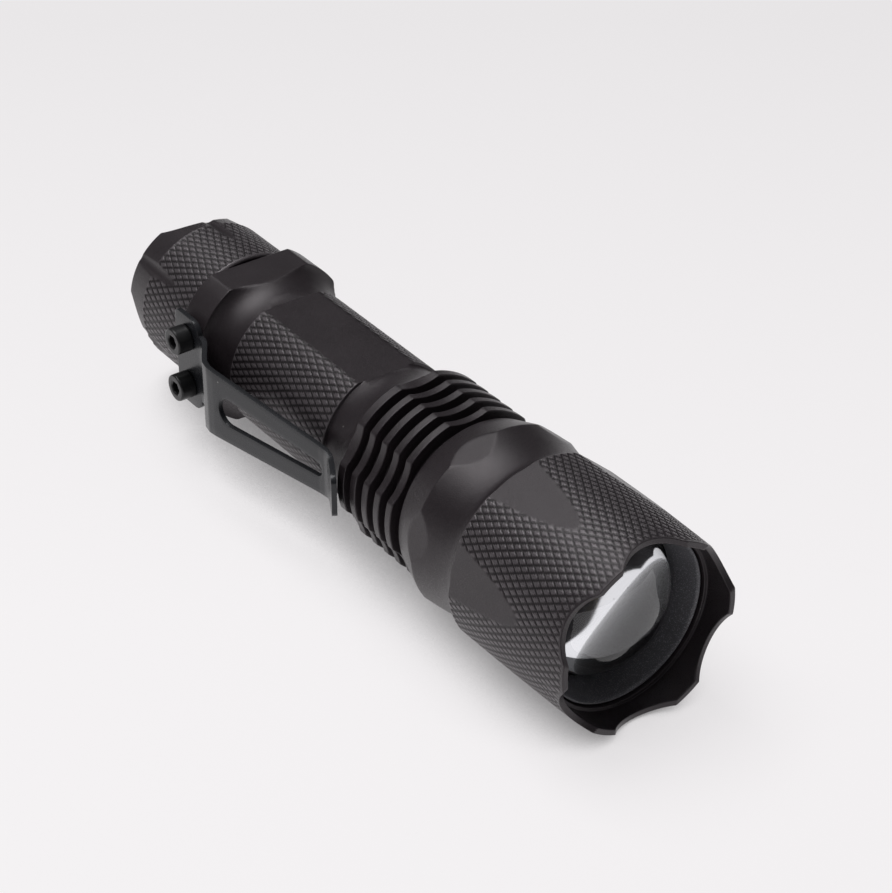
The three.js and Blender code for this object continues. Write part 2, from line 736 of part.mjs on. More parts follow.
place('main_body', mainBody(), 0x1b1a1a, 0.42, 0.85);
place('zoom_head', zoomHead(), 0x1b1a1a, 0.42, 0.85);
place('lens', lensBody(), 0xe8f0f5, 0.05, 0.0);
place('lens_gasket', lensGasket(), 0x101010, 0.8, 0.0);
place('lens_retaining_ring', lensRing(), 0x151515, 0.5, 0.85);
place('head_stop_ring', stopRing(), 0x6e7072, 0.35, 0.95);
place('head_o_ring', rubberRing(barrel.sealGroove, seal.headRadius, seal.headThickness), 0x0d0d0d, 0.75, 0.0);
place('led_pill', ledPill(), 0xb08a45, 0.35, 0.95);
place('led_board', ledBoard(), 0xe9e9e6, 0.5, 0.1);
place('led_emitter', ledEmitter(), 0xe9d34a, 0.3, 0.0);
place('led_spacer', ledSpacer(), 0xf2f2f0, 0.6, 0.0);
place('led_wire_positive', ledWire(1), 0xb01815, 0.5, 0.0);
place('led_wire_negative', ledWire(-1), 0x141414, 0.5, 0.0);
place('driver_board', driverBoard(), 0x14502a, 0.5, 0.0);
place('driver_chip', driverChip(), 0x1a1a1a, 0.5, 0.0);
place('driver_inductor', driverInductor(), 0x3a3a3c, 0.6, 0.2);
place('driver_spring', coilSpring(cell.buttonFront + fit, driver.rear - fit,
  [driver.springRadius - 1, driver.springRadius], driver.springWire, driver.springTurns), 0xc9a95a, 0.3, 0.95);
place('battery_cell', batteryCell(), 0xb8babb, 0.3, 0.95);
place('battery_wrap', batteryWrap(), 0x24508a, 0.4, 0.0);
place('battery_insulator', batteryInsulator(), 0xf1efe8, 0.8, 0.0);
place('battery_positive_cap', batteryButton(), 0xc9cbcc, 0.25, 0.95);
place('tail_cap', tailCap(), 0x1b1a1a, 0.42, 0.85);
place('tail_o_ring', rubberRing(tube.sealGroove, seal.tailRadius, seal.tailThickness), 0x0d0d0d, 0.75, 0.0);
place('switch_boot', bootDome(), 0x161616, 0.8, 0.0);
place('boot_flange', bootFlange(), 0x161616, 0.8, 0.0);
place('switch_plunger', switchPlunger(), 0x2a2a2a, 0.5, 0.0);
place('switch_housing', switchHousing(), 0x202022, 0.5, 0.0);
place('switch_board', switchBoard(), 0x14502a, 0.5, 0.0);
place('switch_retaining_ring', switchRing(), 0xb89048, 0.35, 0.95);
place('tail_spring', coilSpring(tailSwitch.springRear, cell.rear - 0.35, tailSwitch.springRadii,
  tailSwitch.springWire, tailSwitch.springTurns), 0xc0c2c4, 0.3, 0.95);
place('pocket_clip_base', clipBase(), 0x333436, 0.35, 0.9);
place('pocket_clip_arm', clipArm(), 0x333436, 0.35, 0.9);
place('clip_screw_upper', clipScrew(screw.spread), 0x1c1c1d, 0.35, 0.9);
place('clip_screw_lower', clipScrew(-screw.spread), 0x1c1c1d, 0.35, 0.9);

// The origin is under the middle of the whole flashlight, on the surface that it lies on.
const extent = new THREE.Box3().setFromObject(flashlight);
const middle = extent.getCenter(new THREE.Vector3());
flashlight.position.set(-middle.x, -middle.y, -extent.min.z);

export default flashlight;
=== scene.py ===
# %% [markdown]
# # A knurled zoom flashlight, piece by piece
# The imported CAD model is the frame: it fixes where every piece is and what it moves with. This
# lesson makes the visible pieces again with the detail that the solids leave out, such as the knurl,
# the broken edges and the rolled rubber, and gives every piece a finish made only of nodes.

# %% Load the frame
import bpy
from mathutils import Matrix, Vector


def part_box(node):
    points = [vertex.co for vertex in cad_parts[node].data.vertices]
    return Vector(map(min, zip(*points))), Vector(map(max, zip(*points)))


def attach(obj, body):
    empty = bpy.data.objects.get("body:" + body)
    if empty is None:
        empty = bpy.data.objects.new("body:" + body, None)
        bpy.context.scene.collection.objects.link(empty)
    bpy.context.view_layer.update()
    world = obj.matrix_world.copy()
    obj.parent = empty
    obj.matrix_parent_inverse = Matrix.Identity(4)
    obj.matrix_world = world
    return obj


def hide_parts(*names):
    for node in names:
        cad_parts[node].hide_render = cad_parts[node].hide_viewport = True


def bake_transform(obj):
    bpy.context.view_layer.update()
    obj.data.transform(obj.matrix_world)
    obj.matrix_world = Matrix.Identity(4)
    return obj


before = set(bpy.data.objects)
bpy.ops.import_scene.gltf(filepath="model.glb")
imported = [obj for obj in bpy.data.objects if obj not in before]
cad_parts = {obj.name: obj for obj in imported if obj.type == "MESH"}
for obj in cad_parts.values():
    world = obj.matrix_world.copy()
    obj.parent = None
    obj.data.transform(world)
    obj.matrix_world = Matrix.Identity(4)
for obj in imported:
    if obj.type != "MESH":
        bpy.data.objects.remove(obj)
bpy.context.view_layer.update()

import math

import bmesh
import bpy
import numpy as np
from mathutils import Matrix, Vector

scene = bpy.context.scene
MM = 0.001

# %% [markdown]
# ## Where things are
# A turned part is drawn as a lathe worker draws it: a station along the beam axis, counted from the
# tail's end face, and a radius from the axis. Two CAD boxes say where that axis runs in the frame.
# Angles go round the axis from the top towards -Y, the side that carries the clip.

# %% The beam axis
tail_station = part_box("tail_cap")[0].x
cell_low, cell_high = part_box("battery_cell")
axis_y = (cell_low.y + cell_high.y) / 2
axis_z = (cell_low.z + cell_high.z) / 2
print("axis at y %.2f mm and z %.2f mm" % (axis_y / MM, axis_z / MM))


def spot(station, toward_clip=0.0, up=0.0):
    """A point in the frame, from millimetres along the axis, towards the clip and upwards."""
    return Vector((tail_station + station * MM, axis_y - toward_clip * MM, axis_z + up * MM))


# %% [markdown]
# ## Node trees written as formulas
# Geometry Nodes and shader nodes are both wires between small sums. Clicking them together is clear
# for ten nodes and tiring for a hundred, so here a wire is a Python value that can be added and
# multiplied. Each sum still becomes a real node that can be opened and changed in Blender.

# %% Wires and node trees
class Wire:
    """The value on one wire of a node tree."""

    def __init__(self, nodes, socket):
        self.nodes = nodes
        self.socket = socket

    def __add__(self, other):
        return self.nodes.math("ADD", self, other)

    def __sub__(self, other):
        return self.nodes.math("SUBTRACT", self, other)

    def __rsub__(self, other):
        return self.nodes.math("SUBTRACT", other, self)

    def __mul__(self, other):
        return self.nodes.math("MULTIPLY", self, other)

    def __truediv__(self, other):
        return self.nodes.math("DIVIDE", self, other)

    __radd__ = __add__
    __rmul__ = __mul__


class Nodes:
    """A node tree that is being built."""

    def __init__(self, tree):
        self.tree = tree

    def feed(self, socket, value):
        if isinstance(value, Wire):
            value = value.socket
        if isinstance(value, bpy.types.NodeSocket):
            self.tree.links.new(value, socket)
        else:
            socket.default_value = value

    def put(self, kind, settings=None, inputs=None):
        node = self.tree.nodes.new(kind)
        for name, value in (settings or {}).items():
            setattr(node, name, value)
        for key, value in (inputs or {}).items():
            self.feed(node.inputs[key], value)
        return node

    def wire(self, kind, settings=None, inputs=None, output=0):
        return Wire(self, self.put(kind, settings, inputs).outputs[output])

    def math(self, operation, *values):
        return self.wire("ShaderNodeMath", {"operation": operation}, dict(enumerate(values)))

    def mix_colour(self, share, first, second):
        return self.wire("ShaderNodeMix", {"data_type": "RGBA"}, {0: share, 6: first, 7: second}, output=2)

    def between(self, value, low, high):
        """0 below low, 1 above high and a straight ramp between."""
        return self.wire("ShaderNodeMapRange", {}, {0: value, 1: low, 2: high})


def new_group(name, kind, inputs, outputs):
    """A node group with named sockets, and its input and output nodes."""
    tree = bpy.data.node_groups.new(name, kind)
    for socket_name, socket_kind, default in inputs:
        socket = tree.interface.new_socket(socket_name, in_out="INPUT", socket_type=socket_kind)
        if default is not None:
            socket.default_value = default
    for socket_name, socket_kind in outputs:
        tree.interface.new_socket(socket_name, in_out="OUTPUT", socket_type=socket_kind)
    nodes = Nodes(tree)
    start = nodes.put("NodeGroupInput")
    end = nodes.put("NodeGroupOutput")
    given = {socket.name: Wire(nodes, socket) for socket in start.outputs if socket.name}
    return nodes, given, end


# %% [markdown]
# ## The lathe as a geometry tree
# Every turned piece starts as an outline: points of station and radius. The tree below lays a flat
# grid, one row for each outline point and one column for each step round, and rolls it up. Between
# the grid and the rolling, each piece adds its own rules for station and radius, so a knurl, a milled
# flat or a scalloped rim is part of the mesh itself and not a picture on it.

# %% Roll an outline round the axis
GEOMETRY = "NodeSocketGeometry"
FLOAT = "NodeSocketFloat"
INTEGER = "NodeSocketInt"
TURN = 2 * math.pi


def start_turning(name, sizes):
    """A tree with an outline, the number of sides and the piece's own sizes as inputs."""
    inputs = [("Outline", GEOMETRY, None), ("Sides", INTEGER, 96), ("Material", "NodeSocketMaterial", None)]
    inputs += [(size, FLOAT, default) for size, default in sizes.items()]
    nodes, given, end = new_group(name, "GeometryNodeTree", inputs, [("Geometry", GEOMETRY)])
    outline = given["Outline"]
    rows = nodes.wire("GeometryNodeAttributeDomainSize", {"component": "MESH"}, {"Geometry": outline})
    columns = given["Sides"] + 1
    grid = nodes.put("GeometryNodeMeshGrid", {}, {"Vertices X": rows, "Vertices Y": columns})
    index = nodes.wire("GeometryNodeInputIndex")
    row = nodes.math("FLOOR", (index + 0.5) / columns)
    column = index - row * columns
    point = nodes.wire("GeometryNodeSampleIndex", {"data_type": "FLOAT_VECTOR"}, {
        "Geometry": outline, "Value": nodes.wire("GeometryNodeInputPosition"), "Index": row})
    place = nodes.put("ShaderNodeSeparateXYZ", {}, {0: point})
    given.update(
        grid=Wire(nodes, grid.outputs["Mesh"]), station=Wire(nodes, place.outputs[0]), row=row,
        radius=Wire(nodes, place.outputs[2]), angle=column * TURN / given["Sides"])
    return nodes, given, end


def share_of(nodes, given, name):
    """The outline's share called `name`, looked up for each row of the grid."""
    value = nodes.wire("GeometryNodeInputNamedAttribute", {}, {"Name": name})
    return nodes.wire("GeometryNodeSampleIndex", {"data_type": "FLOAT"}, {
        "Geometry": given["Outline"], "Index": given["row"], "Value": value})


def finish_turning(nodes, given, end, mesh, station, radius):
    """Rolls the grid up to those stations and radii, closes the seam and gives it its material."""
    sine = nodes.math("SINE", given["angle"])
    cosine = nodes.math("COSINE", given["angle"])
    rolled = nodes.wire("ShaderNodeCombineXYZ", {}, {
        0: station + tail_station, 1: axis_y - radius * sine, 2: radius * cosine + axis_z})
    rolled = nodes.wire("GeometryNodeSetPosition", {}, {"Geometry": mesh, "Position": rolled})
    closed = nodes.wire("GeometryNodeMergeByDistance", {}, {"Geometry": rolled, "Distance": 2e-7})
    outward = nodes.wire("GeometryNodeFlipFaces", {}, {"Mesh": closed})
    solid = nodes.wire("GeometryNodeRealizeInstances", {}, {"Geometry": outward})
    smooth = nodes.wire("GeometryNodeSetShadeSmooth", {}, {"Geometry": solid})
    painted = nodes.wire("GeometryNodeSetMaterial", {}, {"Geometry": smooth, "Material": given["Material"]})
    nodes.feed(end.inputs["Geometry"], painted)


def folded(nodes, angle, count, first):
    """The angle from the nearest of `count` places round the axis, the first at `first` degrees."""
    half = math.pi / count
    return nodes.math("WRAP", angle - math.radians(first), half, -half)


# %% [markdown]
# ## Outlines with broken edges
# No machined edge is perfectly sharp: the deburring wheel leaves a tenth of a millimetre, and that
# thin round is what catches the light. `rounded` swaps each corner of an outline for a small arc and
# puts a row close to either side of it, so that smooth shading stays flat right up to the edge.

# %% Draw and run an outline
def rounded(points, corner=0.12, longest=0.4):
    """The [station, radius] line with small arcs at its corners and rows at most `longest` apart.
    A point with a third value lies on a smooth run and keeps its place."""
    arc_steps, guard = 2, 0.06
    sharp = [len(point) == 2 for point in points]
    points = [np.array(point[:2], float) for point in points]
    line, at_corner = [points[0]], [False]
    for i in range(1, len(points) - 1):
        here = points[i]
        inward, outward = here - points[i - 1], points[i + 1] - here
        if not sharp[i]:
            line.append(here)
            at_corner.append(False)
            continue
        cut = min(corner, 0.42 * np.linalg.norm(inward), 0.42 * np.linalg.norm(outward))
        enter = here - inward / np.linalg.norm(inward) * cut
        leave = here + outward / np.linalg.norm(outward) * cut
        for part in np.linspace(0, 1, arc_steps + 1):
            line.append((1 - part) ** 2 * enter + 2 * part * (1 - part) * here + part ** 2 * leave)
            at_corner.append(True)
    line.append(points[-1])
    at_corner.append(False)
    filled = [line[0]]
    for i in range(1, len(line)):
        before, here = line[i - 1], line[i]
        span = np.linalg.norm(here - before)
        parts = math.ceil(span / longest)
        stops = {part / parts for part in range(1, parts)}
        if span > 4 * guard:
            stops |= {guard / span} if at_corner[i - 1] else set()
            stops |= {1 - guard / span} if at_corner[i] else set()
        filled += [before + (here - before) * stop for stop in sorted(stops)] + [here]
    return [tuple(point) for point in filled]


def smooth_run(points, count):
    """Points on a smooth curve through [station, radius] points whose stations only grow."""
    stations, radii = np.array(points, float).T
    slopes = np.gradient(radii, stations)
    run = []
    for station in np.linspace(stations[0], stations[-1], count)[1:-1]:
        i = np.searchsorted(stations, station) - 1
        span = stations[i + 1] - stations[i]
        t = (station - stations[i]) / span
        start, end = (2 * t ** 3 - 3 * t ** 2 + 1), (3 * t ** 2 - 2 * t ** 3)
        rise = (t ** 3 - 2 * t ** 2 + t) * span * slopes[i] + (t ** 3 - t ** 2) * span * slopes[i + 1]
        run.append((station, start * radii[i] + end * radii[i + 1] + rise, "smooth"))
    return run


def square(points):
    """Corners that stay square, because they are hidden inside."""
    return [(*point, "square") for point in points]


def even_run(start, end, count):
    """Points at even steps on a straight line, both ends included."""
    return [(*point, "smooth") for point in np.linspace(start, end, count)]


def outline_mesh(name, points, **shares):
    """An outline as a mesh line in metres. Each share says how far a point follows one of the rules."""
    mesh = bpy.data.meshes.new(name)
    mesh.from_pydata([(station * MM, 0, radius * MM) for station, radius in points],
                     [(i, i + 1) for i in range(len(points) - 1)], [])
    for share, rule in shares.items():
        values = [float(min(max(rule(*point), 0.0), 1.0)) for point in points]
        mesh.attributes.new(share, "FLOAT", "POINT").data.foreach_set("value", values)
    return mesh


def made(name, tree, blank, **values):
    """The plain mesh object that a geometry tree makes from a blank."""
    holder = bpy.data.objects.new(name + "_blank", blank)
    scene.collection.objects.link(holder)
    modifier = holder.modifiers.new("maker", "NODES")
    modifier.node_group = tree
    for item in tree.interface.items_tree:
        if item.in_out == "INPUT" and item.name.replace(" ", "_").lower() in values:
            modifier[item.identifier] = values[item.name.replace(" ", "_").lower()]
    graph = bpy.context.evaluated_depsgraph_get()
    mesh = bpy.data.meshes.new_from_object(holder.evaluated_get(graph), depsgraph=graph)
    bpy.data.objects.remove(holder)
    piece = bpy.data.objects.new(name, mesh)
    scene.collection.objects.link(piece)
    print(name, len(mesh.vertices), "vertices,", len(mesh.polygons), "faces")
    return piece


# %% [markdown]
# ## Finishes: shared effects
# Bead blasting leaves the anodised aluminium finely granular, and handling leaves faint patches and a
# little dust. More than one finish needs these, so each is a node group that puts out only heights
# and masks, and every finish sets its own amounts.

# %% The shared shader groups
VECTOR = "NodeSocketVector"


def noise(nodes, place, scale, detail=2.0, roughness=0.5):
    return nodes.wire("ShaderNodeTexNoise", {}, {
        "Vector": place, "Scale": scale, "Detail": detail, "Roughness": roughness})


def blasted_grain():
    """Fine pits of about a tenth of a millimetre, specks that the finishes paint as bright glints,
    and a soft cloudiness several millimetres wide.
    """
    nodes, given, end = new_group("blasted grain", "ShaderNodeTree",
        [("Place", VECTOR, None), ("Grain per metre", FLOAT, 9000.0), ("Patches per metre", FLOAT, 160.0)],
        [("Height", FLOAT), ("Sparkle", FLOAT), ("Patch", FLOAT)])
    grain = noise(nodes, given["Place"], given["Grain per metre"], 3.0, 0.6)
    # a mask of specks that the finishes paint brighter, as painted glints off the grain
    sparkle = nodes.between(noise(nodes, given["Place"], given["Grain per metre"] * 0.8, 1.0), 0.56, 0.74)
    patch = noise(nodes, given["Place"], given["Patches per metre"], 3.0)
    nodes.feed(end.inputs["Height"], grain)
    nodes.feed(end.inputs["Sparkle"], sparkle)
    nodes.feed(end.inputs["Patch"], patch)
    return nodes.tree


def fine_dust():
    """A sparse mask of lint specks, each a fraction of a millimetre."""
    nodes, given, end = new_group("fine dust", "ShaderNodeTree",
        [("Place", VECTOR, None), ("Specks per metre", FLOAT, 700.0), ("Amount", FLOAT, 0.3)],
        [("Mask", FLOAT)])
    cells = nodes.put("ShaderNodeTexVoronoi", {}, {
        "Vector": given["Place"], "Scale": given["Specks per metre"]})
    speck_radius = 0.13
    near = nodes.math("LESS_THAN", cells.outputs["Distance"], speck_radius)
    chosen = nodes.math("LESS_THAN", nodes.wire("ShaderNodeSeparateColor", {}, {0: cells.outputs["Color"]}),
                        given["Amount"])
    nodes.feed(end.inputs["Mask"], near * chosen)
    return nodes.tree


def drawn_lines():
    """Fine lines along one direction, as rolling or turning leaves them."""
    nodes, given, end = new_group("drawn lines", "ShaderNodeTree",
        [("Place", VECTOR, None), ("Stretch", VECTOR, (1.0, 1.0, 1.0)), ("Lines per metre", FLOAT, 3000.0)],
        [("Height", FLOAT)])
    stretched = nodes.wire("ShaderNodeVectorMath", {"operation": "MULTIPLY"},
                           {0: given["Place"], 1: given["Stretch"]})
    nodes.feed(end.inputs["Height"], noise(nodes, stretched, given["Lines per metre"], 2.0))
    return nodes.tree


grain_group = blasted_grain()
dust_group = fine_dust()
line_group = drawn_lines()
print("shader groups:", [group.name for group in (grain_group, dust_group, line_group)])

# %% [markdown]
# ## Finishes: the materials
# One function lays out what all the opaque finishes have in common: a Principled shader whose colour
# and roughness drift a little, and a bump for the grain. What is the same all over a piece is set on
# the shader's own socket. The knurl's `ridge` paints shade into the grooves and a highlight onto the
# diamonds' tops, and gives the tops their own gloss.

# %% Build a finish
def bare_material(name):
    """A material with an empty node tree."""
    material = bpy.data.materials.new(name)
    material.use_nodes = True
    material.node_tree.nodes.clear()
    return material


def finish(name, colour, roughness, metallic=0.0, grain=9000.0, bump=0.02, drift=0.12, sparkle=0.0,
           dust=0.0, stretch=None, lines=3000.0, ridge=None, coat=0.0):
    """An opaque finish: its colour, gloss and grain, and how much each drifts over the surface.
    `bump` is in millimetres, and `ridge` holds the painted highlight of the knurl's tops,
    the painted shade of its grooves and the tops' gloss."""
    material = bare_material(name)
    material.diffuse_color = (*colour, 1.0)
    nodes = Nodes(material.node_tree)
    shader = nodes.put("ShaderNodeBsdfPrincipled", {}, {"Metallic": metallic, "Coat Weight": coat,
                                                        "Coat Roughness": 0.2})
    place = nodes.wire("ShaderNodeTexCoord", output="Object")
    blast = nodes.put("ShaderNodeGroup", {"node_tree": grain_group}, {
        "Place": place, "Grain per metre": grain})
    patch = Wire(nodes, blast.outputs["Patch"])
    height = Wire(nodes, blast.outputs["Height"])
    if stretch:
        height = nodes.wire("ShaderNodeGroup", {"node_tree": line_group},
                            {"Place": place, "Stretch": stretch, "Lines per metre": lines})
    darker = tuple(channel * (1 - drift) for channel in colour)
    lighter = tuple(channel * (1 + drift) for channel in colour)
    paint = nodes.mix_colour(nodes.between(patch, 0.3, 0.7), (*darker, 1.0), (*lighter, 1.0))
    rough = (patch - 0.5) * drift + roughness
    if ridge:
        # painted shade and highlight: the grooves get a near-black colour as painted shade and the diamond
        # tops a lighter colour as a painted highlight; only the tops' gloss is the metal's own
        top_highlight, groove, top_roughness = ridge
        crest = nodes.wire("ShaderNodeAttribute", {"attribute_name": "ridge"}, output="Fac")
        paint = nodes.mix_colour(crest, (*groove, 1.0), paint)
        paint = nodes.mix_colour(nodes.between(crest, 1.0, 1.4), paint, (*top_highlight, 1.0))
        rough = rough + crest * (top_roughness - roughness)
    # painted glint: where the speck mask is on, the colour is made much brighter to stand in for light
    # glancing off the grain; the lower roughness there is real
    if sparkle:
        painted_glint = Wire(nodes, blast.outputs["Sparkle"])
        paint = nodes.mix_colour(painted_glint * sparkle, paint, (*(min(1.0, c * 3 + 0.02) for c in colour), 1.0))
        rough = rough - painted_glint * 0.12
    if dust:
        specks = nodes.wire("ShaderNodeGroup", {"node_tree": dust_group}, {"Place": place, "Amount": dust})
        paint = nodes.mix_colour(specks * 0.35, paint, (0.55, 0.53, 0.52, 1.0))
    nodes.feed(shader.inputs["Base Color"], paint)
    nodes.feed(shader.inputs["Roughness"], rough)
    nodes.feed(shader.inputs["Normal"], nodes.wire("ShaderNodeBump", {}, {
        "Strength": 1.0, "Distance": bump * MM, "Height": height}))
    nodes.put("ShaderNodeOutputMaterial", {}, {"Surface": shader.outputs[0]})
    return material


# the ridge colours are a painted highlight on the knurl's tops and painted shade in its grooves
black_anodised = finish("black_anodised", (0.026, 0.0205, 0.0235), 0.36, metallic=0.30, bump=0.034,
                        sparkle=0.5, dust=0.004,
                        ridge=((0.092, 0.082, 0.088), (0.006, 0.0055, 0.0055), 0.34))
# painted light: the matte black bezel gets a mid-grey colour so that its cone looks lit, as little light
# reaches it
bezel_black = finish("bezel_black", (0.11, 0.11, 0.12), 0.38, metallic=0.2, bump=0.02, sparkle=0.9)
black_rubber = finish("black_rubber", (0.016, 0.016, 0.016), 0.62, bump=0.03, grain=4000.0, dust=0.06)
clip_steel = finish("clip_steel", (0.016, 0.017, 0.020), 0.28, metallic=0.25, bump=0.006,
                    stretch=(0.06, 1.0, 1.0), lines=9000.0, sparkle=0.1, dust=0.01)
screw_steel = finish("screw_steel", (0.022, 0.022, 0.023), 0.30, metallic=0.5, bump=0.006)
spring_steel = finish("spring_steel", (0.62, 0.62, 0.62), 0.24, metallic=1.0, bump=0.004)
gilt_contact = finish("gilt_contact", (0.78, 0.58, 0.27), 0.26, metallic=1.0, bump=0.004)
turned_brass = finish("turned_brass", (0.62, 0.44, 0.17), 0.32, metallic=1.0, bump=0.012,
                      stretch=(1.0, 0.02, 0.02), lines=6000.0)
board_white = finish("board_white", (0.78, 0.78, 0.76), 0.38, bump=0.01, grain=5000.0)
emitter_yellow = finish("emitter_yellow", (0.86, 0.66, 0.08), 0.18, bump=0.006, coat=0.6)
white_plastic = finish("white_plastic", (0.84, 0.84, 0.82), 0.45, bump=0.01, grain=5000.0)
black_plastic = finish("black_plastic", (0.022, 0.022, 0.023), 0.46, bump=0.012, grain=5000.0)
board_green = finish("board_green", (0.015, 0.13, 0.045), 0.3, bump=0.012,
                     stretch=(1.0, 1.0, 0.1), lines=1500.0)
wire_red = finish("wire_red", (0.45, 0.015, 0.012), 0.4, bump=0.005)
wire_black = finish("wire_black", (0.015, 0.015, 0.015), 0.4, bump=0.005)
cell_steel = finish("cell_steel", (0.56, 0.56, 0.57), 0.27, metallic=1.0, bump=0.006,
                    stretch=(0.05, 1.0, 1.0), lines=5000.0)
cell_wrap = finish("cell_wrap", (0.02, 0.10, 0.30), 0.28, bump=0.008, grain=2500.0)
insulator_card = finish("insulator_card", (0.75, 0.72, 0.64), 0.8, bump=0.03, grain=3000.0, drift=0.2)
print("black metal finish:", len(black_anodised.node_tree.nodes), "nodes")

# %% [markdown]
# The lens is one thick piece of clear acrylic. It has to bend the light as a real one does, so it is
# a closed solid with a plain transmission of 1, and only its skin has a breath of haze and dust.

# %% The clear lens
def clear_lens():
    material = bare_material("lens_clear")
    nodes = Nodes(material.node_tree)
    place = nodes.wire("ShaderNodeTexCoord", output="Object")
    specks = nodes.wire("ShaderNodeGroup", {"node_tree": dust_group},
                        {"Place": place, "Amount": 0.1, "Specks per metre": 900.0})
    shader = nodes.put("ShaderNodeBsdfPrincipled", {}, {
        "Base Color": (0.95, 0.97, 1.0, 1.0), "Transmission Weight": 1.0, "IOR": 1.49,
        "Roughness": specks * 0.15 + 0.03})
    nodes.put("ShaderNodeOutputMaterial", {}, {"Surface": shader.outputs[0]})
    return material


lens_clear = clear_lens()
print("lens finish:", len(lens_clear.node_tree.nodes), "nodes")

# %% [markdown]
# ## The knurl
# A diamond knurl is pressed by two wheels with slanting teeth, so it is two families of grooves that
# climb round the axis in opposite directions. The height of the metal is the lower of the two, cut off
# flat where the wheels didn't reach. The grid has six steps to each groove, and the quads that a
# groove crosses are split along it, so that its floor is a clean line.

# %% Knurl rule for a turned piece
STEPS_PER_GROOVE = 6


def knurl(nodes, given, station):
    """Height of the knurl from 0 in a groove to 1 on a diamond, and the grid with its grooves split."""
    round_count = given["Sides"] / STEPS_PER_GROOVE
    along = (station - given["Knurl start"]) / given["Knurl pitch"]
    across = given["angle"] * round_count / TURN
    rising = nodes.math("PINGPONG", across + along, 0.5)
    falling = nodes.math("PINGPONG", across - along, 0.5)
    height = nodes.math("MINIMUM", rising, falling) * 2
    height = nodes.math("MINIMUM", height * given["Knurl steepness"], 1.0)
    inside = nodes.math("GREATER_THAN", station, given["Knurl start"] - 1e-5) * nodes.math(
        "LESS_THAN", station, given["Knurl end"] + 1e-5)
    height = 1 - (1 - height) * inside
    quad = nodes.wire("GeometryNodeInputIndex")
    row = nodes.math("FLOOR", (quad + 0.5) / given["Sides"])
    column = quad - row * given["Sides"]
    row = row - given["Knurl row"]
    rising_cut = nodes.math("FLOORED_MODULO", column + row + 1, STEPS_PER_GROOVE)
    rising_cut = nodes.math("LESS_THAN", rising_cut, 0.5)
    stored = nodes.wire("GeometryNodeStoreNamedAttribute", {"data_type": "BOOLEAN", "domain": "FACE"},
                        {"Geometry": given["grid"], "Name": "rising", "Value": rising_cut})
    is_rising = nodes.wire("GeometryNodeInputNamedAttribute", {"data_type": "BOOLEAN"}, {"Name": "rising"})
    mesh = nodes.wire("GeometryNodeTriangulate", {"quad_method": "FIXED_ALTERNATE"},
                      {"Mesh": stored, "Selection": is_rising})
    mesh = nodes.wire("GeometryNodeTriangulate", {"quad_method": "FIXED"}, {"Mesh": mesh})
    mesh = nodes.wire("GeometryNodeRemoveAttribute", {}, {"Geometry": mesh, "Name": "rising"})
    return height, mesh


def flat_height(nodes, offset, distance):
    """How far from the axis a milled flat lies at an angle `offset` from its middle."""
    return distance / nodes.math("COSINE", offset)


def bar_cut(nodes, offset, distance, size):
    """How far from the axis a round bar of that size leaves the metal, when it lies along the axis."""
    sideways = distance * nodes.math("SINE", offset)
    under = nodes.math("MAXIMUM", size * size - sideways * sideways, 0.0)
    left = distance * nodes.math("COSINE", offset) - nodes.math("SQRT", under)
    missed = nodes.math("GREATER_THAN", nodes.math("ABSOLUTE", sideways), size)
    return left + missed * 1.0


def rim_cut(nodes, offset, wall, size, depth):
    """How much a round bar across the wall takes off a rim."""
    sideways = wall * nodes.math("SINE", offset)
    under = nodes.math("MAXIMUM", size * size - sideways * sideways, 0.0)
    return nodes.math("MAXIMUM", nodes.math("SQRT", under) - (size - depth), 0.0)


def with_ridge(nodes, mesh, height, share):
    """Stores the knurl height, which the finish paints as shade in the grooves and as a highlight
    on the tops: 0 in a groove, 1 on plain metal and 1.4 on top of a diamond.
    """
    height = share * (height * 1.4 - 1) + 1
    return nodes.wire("GeometryNodeStoreNamedAttribute", {"data_type": "FLOAT", "domain": "POINT"},
                      {"Geometry": mesh, "Name": "ridge", "Value": height})


# %% [markdown]
# ## The body tube
# One bar of aluminium, turned, milled and knurled: a collar with four flats, two coves, a knurled grip
# with a long flat on top, five cooling fins with six scallops milled across them, and the plain barrel
# that the head slides on. The outline is the turned shape, and the tree does the milling.

# %% The tube's outline
GRIP_COUNT, GRIP_PITCH = 60, 2.17
GRIP_START, GRIP_END, GRIP_RADIUS = 26.7, 48.8, 10.15
TUBE_REAR, BORE_END, BORE_RADIUS = 10.5, 73.9, 7.45
FINS = dict(count=5, first=56.5, pitch=2.55, thick=1.15, root=9.9)
BARREL_RADIUS = 10.3
LAND_RADIUS = 12.0
COLLAR_END = 21.2
FIRST_FIN_REAR = 55.2


def knurl_rows(start, end, start_radius, end_radius, wanted):
    """Evenly spaced rows for a knurl, and the pitch nearest to the wanted one that fills the run."""
    edge = 0.2
    run = end - start - 2 * edge
    grooves = round(run / wanted)
    rows = grooves * STEPS_PER_GROOVE
    slope = (end_radius - start_radius) / (end - start)
    return even_run((start + edge, start_radius + slope * edge), (end - edge, end_radius - slope * edge),
                    rows + 1), run / grooves


def quarter(centre_station, centre_radius, wide, deep, from_angle, to_angle, count):
    """Points on a quarter of an ellipse."""
    return [(centre_station + wide * math.cos(math.radians(angle)),
             centre_radius + deep * math.sin(math.radians(angle)), "smooth")
            for angle in np.linspace(from_angle, to_angle, count)]


def fin_points():
    points = []
    for i in range(FINS["count"]):
        front = FINS["first"] + FINS["pitch"] * i
        rear = front - FINS["thick"]
        if i:
            points += [(rear, FINS["root"]), (rear, LAND_RADIUS)]
        last = i == FINS["count"] - 1
        points += [(front, LAND_RADIUS), (front, BARREL_RADIUS if last else FINS["root"])]
    return points


